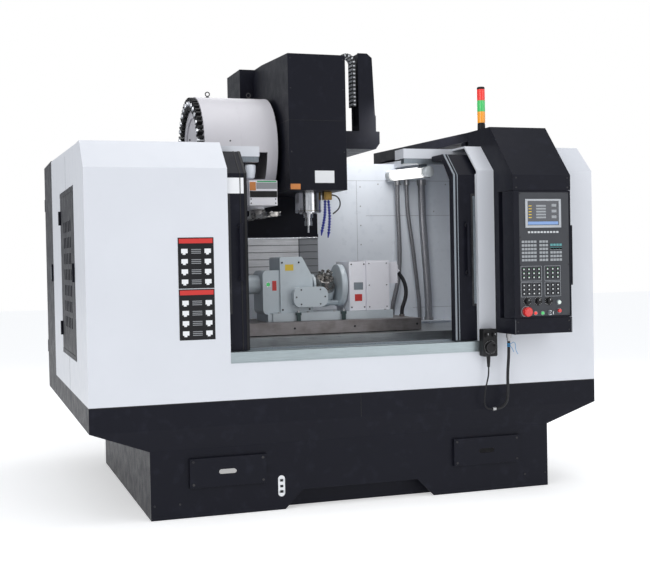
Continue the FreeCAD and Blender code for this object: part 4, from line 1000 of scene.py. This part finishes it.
def makeHead():
    blocks("headSheetOrange", [(-188, -122, 699, 700, 1862, 1897)], labelOrange, "head", "red_plastic", 0.3,
        1)
    blocks("headSheetWhite", [(-25, 105, 699, 700, 1903, 1981)], labelWhite, "head", "white_paint", 0.3, 1)
    ringOf("noseBolts", boltMesh(5, 3), 0, 938, 1724, (0, 0, -1), head["noseBolts"], 72, 22,
           360 / head["noseBolts"], screwSteel, "head", "steel")
    band("noseLip", 80, 88.5, 6, 0, 938, 1732, (0, 0, 1), turnedSteel, "head", "chrome")
    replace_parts(blocks("coolantBlock", [(92, 146, 874, 926, 1806, 1858), (100, 138, 870, 874, 1816, 1848)],
                       brass, "head", "fitting_metal", 2.0), "coolant_nozzles")
    for side, route in head["nozzles"].items():
        path = pathOf(route, True)
        link = latheMesh([(4.5, -9), (10, -6), (10, 2), (5, 6), (4.5, 9)], 16)
        alongPath("coolantNozzle" + side, link, path, 13, nozzleBlue, "head", "nozzle_blue")
        drop(path)
        x, y, z = route[-1]
        turned("nozzleTip" + side, [(8, 0), (7, 10), (3.5, 34), (2.4, 34), (2.4, 20)], x, y, z + 2,
               (-0.15, 0.02, -1), nozzleBlue, "head", "nozzle_blue", 20)
    bentRod("coolantPipe", [(146, 900, 1839), (186, 900, 1838), (212, 900, 1800), (210, 900, 1762),
                            (186, 900, 1732), (160, 900, 1716)], 9, hoseRubber, "head", "black_plastic")
    step, rows, low = head["slatPitch"], head["slatRows"], head["slatLow"]
    gridOf("apronSlatsLeft", blockMesh(378, 7, step - 3, 1.5), -73, 1548, low, 1, rows, (0, 0, 0),
           (0, 0, step), slatSteel, "head", "steel")
    # the right-hand slats are a darker grey than the left ones
    gridOf("apronSlatsRight", blockMesh(140, 7, step - 3, 1.5), 191, 1548, low, 1, rows, (0, 0, 0),
           (0, 0, step), labelGrey, "head", "steel")
    blocks("apronLip", [(-262, 262, 1533, 1536, 1568, 1578)], chrome, "head", "chrome")
    screwsAt("headCoverScrews", [(-176, 700, 2100, 1, (0, 0, 0)), (176, 700, 2100, 1, (0, 0, 0)), (-176,
        700, 2500, 1, (0, 0, 0)), (176, 700, 2500, 1, (0, 0, 0)), (-176, 700, 2690, 2, (352, 0, 0))],
        blackScrew, "head", "black_plastic", 4, 2)
    blocks("headCoverSeam", [(-192.4, 192.4, 699.4, 1300, 2298, 2301)], labelBlack, "head", "black_paint",
        0.2, 1)


makeHead()
print("head dressed")


# energy chains: links on both legs and round the arch

chainLink = {"pitch": 25.5, "width": 84, "thick": 24}


def makeChain(name, x0, x1, y, foot0, foot1, top, body):
    # legs at x0 and x1 rise from foot0 and foot1 to top, with a half turn above
    wide, thick, pitch = chainLink["width"] / 2, chainLink["thick"] / 2, chainLink["pitch"]
    plates = [(-thick, thick, -wide, -wide + 7, -pitch / 2 - 3, pitch / 2 - 1),
              (-thick, thick, wide - 7, wide, -pitch / 2 - 3, pitch / 2 - 1),
              (-thick + 5, thick - 5, -wide + 7, wide - 7, -pitch / 2 + 1, pitch / 2 - 1)]
    bars = [(-thick - 0.6, -thick + 4, -wide + 4, wide - 4, -7, 7), (thick - 4, thick + 0.6, -wide + 4,
        wide - 4, -7, 7), (-8, 8, -wide - 0.8, -wide + 2, -8, 2), (-8, 8, wide - 2, wide + 0.8, -8, 2)]
    centre, radius = (x0 + x1) / 2, abs(x1 - x0) / 2
    around = round(math.pi * radius / pitch)
    step = 180 / around
    made = []
    for label, boxes, look in (("Links", plates, chainGrey), ("Bars", bars, chainPale)):
        meshes = []
        for x, foot in ((x0, foot0), (x1, foot1)):
            item = part(shapeOf(boxes, 1.2))
            count = int((top - foot) / pitch)
            mesh = grown("grid", item, Columns=1, Rows=count, Column_Step=(0.0, 0.0, 0.0),
                         Row_Step=(0.0, 0.0, pitch / 1000), Finish=look)
            mesh.transform(Matrix.Translation(at(x, y, top - (count - 0.5) * pitch)))
            meshes.append(mesh)
            drop(item)
        item = part(shapeOf(boxes, 1.2))
        item.data.transform(Matrix.Rotation(math.radians(-90), 4, "X"))
        mesh = grown("ring", item, Count=around, Radius=radius / 1000,
                     From_Angle=math.radians(step / 2), Angle_Step=math.radians(step), Finish=look)
        drop(item)
        mesh.transform(Matrix.Translation(at(centre, y, top)) @ Matrix.Rotation(math.radians(90), 4, "X"))
        meshes.append(mesh)
        made.append(joined(name + label, meshes, look, body, "chain_plastic"))
    return made


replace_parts(makeChain("energyChain", 220, 322, 930, 2400, 2410, 2706, "chain")[0], "cable_chain")
print("chains dressed")


# work lamp and stacked signal lamp

lamp = {"start": (618, 352, 1952), "along": (-0.3035, 0.9528, 0), "length": 402, "cap": 42}


def makeLamps():
    x, y, z = lamp["start"]
    along, length, cap = lamp["along"], lamp["length"], lamp["cap"]

    def spot(distance):
        return x + along[0] * distance, y + along[1] * distance, z

    tube = turned("lampTube", [(33, 0), (33, length - 80)], *spot(40), along, lampGlow, "machine",
        "lamp_white")
    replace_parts(tube, "work_lamp")
    rings = []
    for distance in (0, length - cap):
        rings.append(turnedMesh([(28, 0), (35, 4), (36, 8), (36, 34), (35, 38), (33.5, 42)],
            *spot(distance), along, 40))
    joined("lampEnds", rings, clearCap, "machine", "black_plastic", True)
    joined("lampRings", [turnedMesh([(34.2, 0), (34.2, 5)], *spot(d), along, 40) for d in (46, 351)],
        trimGrey, "machine", "steel", True)
    blocks("lampBlock", [(578, 618, 400, 440, 1980, 2086), (572, 624, 392, 448, 1976, 1986)], trimGrey,
        "machine", "steel", 2)
    base = turned("signalBase", [(24, 0), (24, 34), (22, 38), (22, 42)], 900, 200, 2197, (0, 0, 1),
        blackPlastic, "machine", "black_plastic")
    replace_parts(base, "signal_tower")
    for label, low, look in (("Low", 2239.5, lensAmber), ("Middle", 2308.5, lensGreen), ("Top", 2377.5,
            lensRed)):
        ribs = [(24.4, 0)]
        for i in range(8):
            ribs += [(25, 3 + i * 8), (24.2, 7 + i * 8)]
        turned("signalLens" + label, ribs + [(24.4, 68)], 900, 200, low, (0, 0, 1), look, "machine",
               "signal_plastic")
    turned("signalCap", [(24, 0), (24, 10), (20, 15), (8, 16)], 900, 200, 2446, (0, 0, 1), blackPlastic,
        "machine", "black_plastic")


makeLamps()
print("lamps made")


# tool magazine, gearbox and arm

magazine = {"pots": 30, "potRadius": 302, "outerEnd": -702, "axle": (1195, 2150)}


def makePots():
    # tool pots that stand out of the magazine's outer end and go round with the wheel
    count, radius = magazine["pots"], magazine["potRadius"]
    centre = (magazine["outerEnd"], *magazine["axle"])
    grips = shapeOf([(-42, 40, -23, -9, 0, 34), (-42, 40, 9, 23, 0, 34), (-42, -24, -23, 23, 0, 28)], 2.0)
    ringOf("potGrips", grips, *centre, (-1, 0, 0), count, radius, 0, 360 / count, blackPlastic, "carousel",
           "black_plastic")
    holder = latheMesh([(19, 0), (19, 16), (22, 18), (22, 24), (19, 26), (14, 40), (6, 42)], 20)
    ringOf("toolHolders", holder, *centre, (-1, 0, 0), count, radius, 0, 360 / count, chrome, "carousel",
        "chrome")
    band("potPlate", 210, 268, 8, *centre, (-1, 0, 0), drumWhite, "carousel", "white_paint")


def makeChanger():
    axle = magazine["axle"]
    for number, x in enumerate((-600, -320)):
        turned("liftingEyeBase" + "AB"[number], [(16, 0), (16, 5), (8, 8), (8, 12)], x, 1195, 2494, (0, 0, 1),
               blackScrew, "machine", "fitting_metal", 24)
        bentRod("liftingEye" + "AB"[number], arcPoints(x, 1195, 2521, 14, -90, 270, 20), 7, blackScrew,
            "machine", "fitting_metal")
    band("drumRimFront", 342, 346.5, 14, -223, *axle, (-1, 0, 0), drumWhite, "machine", "white_paint")
    band("drumRimMiddle", 344, 346, 8, -455, *axle, (-1, 0, 0), drumWhite, "machine", "white_paint")
    band("drumRimBack", 342, 346.5, 14, -685, *axle, (-1, 0, 0), drumWhite, "machine", "white_paint")
    ringOf("drumFaceScrews", boltMesh(6, 4), -222, *axle, (1, 0, 0), 8, 318, 0, 45, screwSteel, "machine",
           "fitting_metal")
    band("drumHubPlate", 32, 84, 4, -222, *axle, (1, 0, 0), trimGrey, "machine", "fitting_metal")
    turned("toolPot", [(20, 0), (27, 6), (30, 26), (34, 44), (34, 84), (28, 88)], -395, 902, 1944, (0, 0, 1),
           innerWhite, "machine", "white_paint")
    blocks("gearboxSheetGrey", [(-395, -260, 760.8, 762, 1868, 1908)], labelGrey, "machine", "white_paint",
        0.3, 1)
    blocks("gearboxSheetOrange", [(-438, -398, 760.8, 762, 1858, 1912)], labelOrange, "machine",
        "red_plastic", 0.3, 1)
    blocks("gearboxSheetGreen", [(-390, -262, 760.8, 762, 1911, 1919)], green, "machine", "green_plastic",
        0.3, 1)
    blocks("gearboxBand", [(-438, -260, 760, 762, 1815, 1855)], blackPlastic, "machine", "black_plastic", 1.0)
    screwsAt("gearboxScrews", [(-430, 762, 1778, 2, (160, 0, 0)), (-430, 762, 1804, 2, (160, 0, 0))],
        blackScrew, "machine", "black_plastic", 4, 2.5)
    ringOf("armHubBolts", boltMesh(5, 4), -345, 938, 1688, (0, 0, -1), 6, 36, 0, 60, blackScrew, "change_arm",
           "fitting_metal")
    for number, side in enumerate((-1, 1)):
        joined("armGrip" + "AB"[number], [turnedMesh([(6, 0), (6, 2), (5, 3)], -345 + side * dx,
            938 + side * 345 + side * dy, 1712, (0, 0, 1), 16) for dx, dy in ((-46, 30), (-46, -30), (14,
            54))], chrome, "change_arm", "fitting_metal", True)


makePots()
makeChanger()
print("tool changer dressed")


# cabin walls: seams and screws

def makeCabin():
    y0, y1 = 1565, 1566
    blocks("cabinSeams", [(571, 573, y0, y1, 1050, 1985), (640, 1536, y0, y1, 1729, 1731), (200, 1536, y0,
        y1, 1984, 1986), (1000, 1536, y0, y1, 1049, 1051), (-573, -571, y0, y1, 1050, 1760), (-1536, -640,
        y0, y1, 1729, 1731)], labelGrey, "machine", "white_paint", 0.3, 1)
    screwsAt("cabinScrews", [(600, y1, 1100, 7, (0, 0, 140)), (1180, y1, 1760, 3, (150, 0, 0)), (-600, y1,
        1100, 5, (0, 0, 140)), (740, y1, 1960, 5, (180, 0, 0))], screwSteel, "machine", "steel", 5, 2)
    blocks("manifoldPlate", [(812, 1118, 1478, 1480, 2000, 2036)], trimGrey, "machine", "steel", 0.8)
    screwsAt("manifoldScrews", [(826, 1478, 2018, 3, (139, 0, 0))], screwSteel, "machine", "steel", 5, 3)


makeCabin()
print("cabin dressed")


# rotary unit on the table

rotary = {"tilt": (92, 920, 1244), "lift": 65.5, "lean": 34}


def makeRotary():
    screwsAt("rotaryCoverScrews", [(-150, 742, 1178, 2, (192, 0, 0)), (-118, 742, 1224, 2, (128, 0, 0)),
        (-118, 742, 1132, 2, (128, 0, 0))], blackScrew, "table", "fitting_metal", 5, 3)
    screwsAt("rotaryBodyScrews", [(-226, 800, 1400, 2, (112, 0, 0)), (-226, 800, 1098, 2, (180, 0, 0))],
        blackScrew, "table", "fitting_metal", 6, 4)
    band("gaugeRim", 13, 17, 4, -318, 812, 1262, (0, -1, 0), chrome, "table", "chrome")
    # the gauge window uses the glowing green lens finish, so it glows faintly as painted light though it is
    # no lamp
    turned("oilGauge", [(13, 0), (13, 2)], -318, 812, 1262, (0, -1, 0), lensGreen, "table", "green_plastic",
        28)
    blocks("rotarySheetRed", [(-290, -262, 810.8, 812, 1222, 1285)], labelRed, "table", "red_plastic", 0.3, 1)
    blocks("driveSheetRed", [(262, 312, 788.8, 790, 1140, 1185)], labelRed, "table", "red_plastic", 0.3, 1)
    blocks("drivePlateGrey", [(256, 320, 788.8, 790, 1214, 1262)], trimGrey, "table", "steel", 0.3, 1)
    blocks("rotaryPlateYellow", [(-206, -150, 798.8, 800, 1348, 1388)], yellow, "table", "red_plastic", 0.3,
        1)
    blocks("driveCabinetPanel", [(352, 490, 780, 782, 1092, 1392)], castingLight, "table", "grey_casting",
        1.2)
    screwsAt("driveCabinetScrews", [(360, 780, 1100, 2, (122, 0, 0)), (360, 780, 1384, 2, (122, 0, 0)),
        (360, 780, 1242, 2, (122, 0, 0))], blackScrew, "table", "fitting_metal", 4, 2.5)
    screwsAt("driveHousingScrews", [(240, 790, 1100, 2, (88, 0, 0)), (240, 790, 1380, 2, (88, 0, 0))],
        blackScrew, "table", "fitting_metal", 5, 3.5)
    clamps = []
    for x in (-135, 170):
        clamps += [(x - 16, x + 16, 742, 776, 1062, 1080), (x - 12, x + 12, 744, 762, 1025, 1062)]
    blocks("tableClamps", clamps, darkGreen, "table", "fitting_metal", 2.0)
    joined("clampNuts", [turnedMesh([(10, 0), (10, 9), (5, 9), (5, 16)], x, 757, 1080, (0, 0, 1),
        6) for x in (-135, 170)], screwSteel, "table", "fitting_metal")
    screwsAt("baseBolts", [(x, 786, 1078, 1, (0, 0, 0)) for x in (-256, -60, 118, 470)], screwSteel, "table",
             "fitting_metal", 9, 6, (0, 0, 1))
    screwsAt("tableEndScrews", [(-630, 630, 987, 2, (1260, 0, 0)), (-200, 630, 987, 2, (400, 0, 0))],
        blackScrew, "table", "steel", 7, 3)
    lean = math.radians(rotary["lean"])
    axis = (0, -math.sin(lean), math.cos(lean))
    spot = [rotary["tilt"][i] + axis[i] * rotary["lift"] for i in range(3)]
    ringOf("chuckBolts", boltMesh(5, 2.5), *spot, axis, 3, 46, 90, 120, blackScrew, "faceplate",
        "fitting_metal")
    middle = [rotary["tilt"][i] + axis[i] * 14.5 for i in range(3)]
    ringOf("faceplateBolts", boltMesh(4, 2), *middle, axis, 8, 67, 0, 45, blackScrew, "faceplate",
        "fitting_metal")


makeRotary()
print("rotary unit dressed")


# operator panel: bezel, screen, keys, dials

panel = {"face": -237, "keyPitch": (20, 21.5), "screen": (968, 1174, 1590, 1733)}


def keyMesh(width, height, depth=3.0):
    return blockMesh(width, depth, height, 1.0)


def makePanel():
    face = panel["face"]
    x0, x1, z0, z1 = panel["screen"]
    blocks("panelFoil", [(914, 1242, face - 1, face, 1059, 1783)], panelGrey, "panel", "black_plastic", 0.4)
    blocks("screenBezel", [(x0 - 15, x1 + 15, face - 7, face - 1, z1, z1 + 11), (x0 - 15, x1 + 15, face - 7,
        face - 1, z0 - 14, z0), (x0 - 15, x0, face - 7, face - 1, z0, z1), (x1, x1 + 15, face - 7, face - 1,
        z0, z1)], bezelGrey, "panel", "black_plastic", 1.5)
    blocks("screenGlass", [(x0, x1, face - 2.5, face - 1, z0, z1)], screenDark, "panel", "black_plastic", 0.3)
    rows = [z1 - 34 - 17 * i for i in range(5)]
    fields = [(x0 + 58, x0 + 122, z, z + 10) for z in rows] + [(x1 - 46, x1 - 14, z,
        z + 16) for z in rows[::2]]
    blocks("screenFields", [(a, b, face - 2.9, face - 2.5, c, d) for a, b, c, d in fields], keyGrey, "panel",
           "black_plastic", 0.2, 1)
    blocks("screenBar", [(x0 + 3, x1 - 3, face - 2.9, face - 2.5, z0 + 4, z0 + 22)], screenBlue, "panel",
        "black_plastic", 0.2, 1)
    blocks("screenColumn", [(x0 + 8, x0 + 28, face - 2.9, face - 2.5, z + 2, z + 7) for z in rows], yellow,
        "panel", "black_plastic", 0.2, 1)
    dx, dz = panel["keyPitch"]
    gridOf("softKeys", keyMesh(15, 11), 977, face - 1, 1550, 10, 1, (20.8, 0, 0), (0, 0, 0), keyWhite,
        "panel", "white_paint")
    groups = [("letterKeys", 930, 1379, 5, 6, keyGrey), ("numberKeys", 1046, 1379, 3, 6, keyGrey),
              ("editKeys", 1118, 1379, 4, 4, keyGrey), ("editKeysTop", 1118, 1445, 4, 2, keyTeal)]
    for name, x, z, columns, rows, look in groups:
        gridOf(name, keyMesh(17, 14), x + 6, face - 1, z + 8, columns, rows, (dx, 0, 0), (0, 0, dz), look,
               "panel", "black_plastic")
    frames = []
    for a, b, c, d in ((920, 1056, 1264, 1352), (1076, 1182, 1264, 1352), (920, 1056, 1172, 1258),
                       (1076, 1182, 1172, 1258)):
        frames += [(a, b, face - 2, face - 1, d - 1.5, d), (a, b, face - 2, face - 1, c, c + 1.5),
                   (a, a + 1.5, face - 2, face - 1, c, d), (b - 1.5, b, face - 2, face - 1, c, d)]
    blocks("keyFrames", frames, bezelGrey, "panel", "black_plastic", 0.3, 1)
    gridOf("modeKeys", keyMesh(22, 18), 939, face - 1, 1286, 4, 3, (33, 0, 0), (0, 0, 24), blackPlastic,
        "panel", "black_plastic")
    gridOf("feedKeys", keyMesh(22, 18), 1095, face - 1, 1286, 3, 3, (34, 0, 0), (0, 0, 24), blackPlastic,
        "panel", "black_plastic")
    gridOf("axisKeys", keyMesh(22, 18), 939, face - 1, 1192, 4, 3, (33, 0, 0), (0, 0, 24), blackPlastic,
        "panel", "black_plastic")
    gridOf("cycleKeys", keyMesh(22, 18), 1095, face - 1, 1192, 3, 3, (34, 0, 0), (0, 0, 24), blackPlastic,
        "panel", "black_plastic")
    for name, x, z, columns, step in (("A", 939, 1286, 4, 33), ("B", 1095, 1286, 3, 34), ("C", 939, 1192, 4,
            33), ("D", 1095, 1192, 3, 34)):
        gridOf("keyMarks" + name, keyMesh(9, 8, 0.5), x, face - 4, z - 1, columns, 3, (step, 0, 0), (0, 0,
            24), keyWhite, "panel", "white_paint")
    blocks("keyLamps", [(x - 2, x + 2, face - 4.4, face - 4, z + 3, z + 6) for x in (939, 972, 1005, 1038,
        1095, 1129, 1163) for z in (1286, 1310, 1334)], lensGreen, "panel", "green_plastic", 0.1, 1)
    screwsAt("panelScrews", [(920, face - 1, z, 2, (316, 0, 0)) for z in (1066, 1358, 1520, 1776)],
        blackScrew, "panel", "black_plastic", 4, 1.6)
    for name, x in (("feed", 959), ("spindle", 1030), ("mode", 1101)):
        band(name + "DialRing", 17, 27, 0.8, x, face - 1, 1146, (0, -1, 0), blackPlastic, "panel",
            "black_plastic")
        tick = latheMesh([(1.4, 0), (1.4, 0.5)], 8)
        ringOf(name + "DialTicks", tick, x, face - 1.8, 1146, (0, -1, 0), 13, 24, -60, 25, labelWhite,
            "panel", "white_paint")
        blocks(name + "Pointer", [(x - 1.0, x + 1.0, face - 23.3, face - 22.0, 1149, 1159)], labelWhite,
            name + "_knob", "white_paint", 0.3, 1)
    band("stopRing", 29, 33, 1.4, 952, face - 1, 1086, (0, -1, 0), labelGrey, "panel", "red_plastic")
    for name, x, z, look, slotName in (("red", 1011, 1076, lensRed, "red_plastic"), ("green", 1058, 1075,
            lensGreen, "green_plastic")):
        turned(name + "Pilot", [(10, 0), (10, 6), (7, 10), (0, 11)], x, face - 1, z, (0, -1, 0), look,
            "panel", slotName, 28)
        band(name + "PilotRim", 10.3, 13, 4, x, face - 1, z, (0, -1, 0), trimGrey, "panel", "chrome")
    for name, x, z in (("powerOn", 1166, 1136), ("powerOff", 1168, 1086), ("key", 1106, 1076)):
        band(name + "Rim", 12.6, 15.5, 4, x, face - 1, z, (0, -1, 0), trimGrey, "panel", "chrome")
    band("keyFace", 5, 10, 0.6, 1106, face - 14.4, 1076, (0, -1, 0), blackPlastic, "key_switch",
        "black_plastic")


makePanel()
print("operator panel dressed")


# housing, pendant, hoses

def makeStation():
    for side, x in (("Left", 880), ("Right", 1250)):
        blocks("housingSeam" + side, [(x - 0.6, x + 0.6, -240.4, -240, 960, 1040)], labelGrey, "machine",
            "black_paint", 0.1, 1)
    screwsAt("housingScrews", [(896, -240, 972, 2, (338, 0, 0)), (896, -240, 1026, 2, (338, 0, 0)), (896,
        -240, 1812, 2, (338, 0, 0)), (896, -240, 1868, 2, (338, 0, 0))], blackScrew, "machine",
        "black_plastic", 5, 2.2)
    band("wheelDial", 35, 43, 1.2, 803, -66, 872, (0, -1, 0), blackPlastic, "machine", "black_plastic")
    ringOf("wheelTicks", latheMesh([(0.9, 0), (0.9, 0.5)], 8), 803, -67.2, 872, (0, -1, 0), 40, 39, 0, 9,
        labelWhite, "machine", "white_paint")
    band("wheelGrip", 28, 31, 1.2, 803, -82, 872, (0, -1, 0), blackScrew, "pendant_wheel", "steel")
    screwsAt("pendantScrews", [(766, -66, 828, 2, (74, 0, 0)), (766, -66, 972, 2, (74, 0, 0))], blackScrew,
        "machine", "black_plastic", 3, 1.4)
    blocks("pendantMarks", [(x - 1, x + 1, -85, -84, 947, 957) for x in (780, 826)], labelWhite, "machine",
           "white_paint", 0.2, 1)
    joined("hoseTies", [turnedMesh([(11.5, 0), (12, 1), (12, 5), (11.5, 6)], 928, -60, z, (0, 0, 1), 24)
                        for z in (872, 884)], tieBlue, "machine", "nozzle_blue", True)
    bentRod("tieTailLong", [(940, -60, 886), (958, -64, 902), (972, -66, 884), (968, -66, 850), (986, -66,
        824)], 3.2, tieBlue, "machine", "nozzle_blue")
    bentRod("tieTailShort", [(940, -58, 874), (952, -62, 858), (960, -62, 838)], 3.2, tieBlue, "machine",
        "nozzle_blue")
    screwsAt("tankScrews", [(-1205, 19, 80, 2, (140, 0, 0)), (1065, 19, 80, 2, (140, 0, 0))], blackScrew,
        "machine", "black_plastic", 6, 2)
    blocks("sideSeams", [(-1550.8, -1550, 985, 987, 640, 842), (-1550.8, -1550, 985, 987, 1878, 2080)],
        labelGrey, "machine", "white_paint", 0.2, 1)


def makeRear():
    back = (0, 1, 0)
    louver = blockMesh(220, 7, 8, 2.5)
    louver.transform(Matrix.Rotation(math.pi, 4, "Z"))
    gridOf("cabinetLouvers", louver, -460, 2640, 620, 1, 10, (0, 0, 0), (0, 0, 22), blackPlastic, "machine",
           "black_plastic")
    screwsAt("cabinetScrews", [(-1500, 2640, 540, 4, (420, 0, 0)), (-1500, 2640, 2110, 4, (420, 0, 0))],
        blackScrew, "machine", "black_plastic", 7, 3, back)
    blocks("cabinetHatch", [(-1400, -760, 2640, 2642, 900, 1900)], black, "machine", "black_paint", 1.5)
    screwsAt("hatchScrews", [(-1380, 2642, 930, 4, (200, 0, 0)), (-1380, 2642, 1870, 4, (200, 0, 0))],
        blackScrew, "machine", "black_plastic", 6, 3, back)
    blocks("backHatch", [(250, 1150, 2000, 2002, 1100, 1850)], white, "machine", "white_paint", 1.5)
    screwsAt("backHatchScrews", [(275, 2002, 1130, 5, (212, 0, 0)), (275, 2002, 1820, 5, (212, 0, 0))],
        screwSteel, "machine", "steel", 6, 3, back)
    blocks("cabinetLatchFace", [(-1563.5, -1562, 2036, 2054, 1316, 1404)], trimGrey, "cabinet_door",
        "steel", 0.5)
    screwsAt("ductScrews", [(-900, 340, 2120, 2, (240, 0, 0))], blackScrew, "machine", "black_plastic", 5, 2)


makeStation()
makeRear()
print("station and rear dressed")
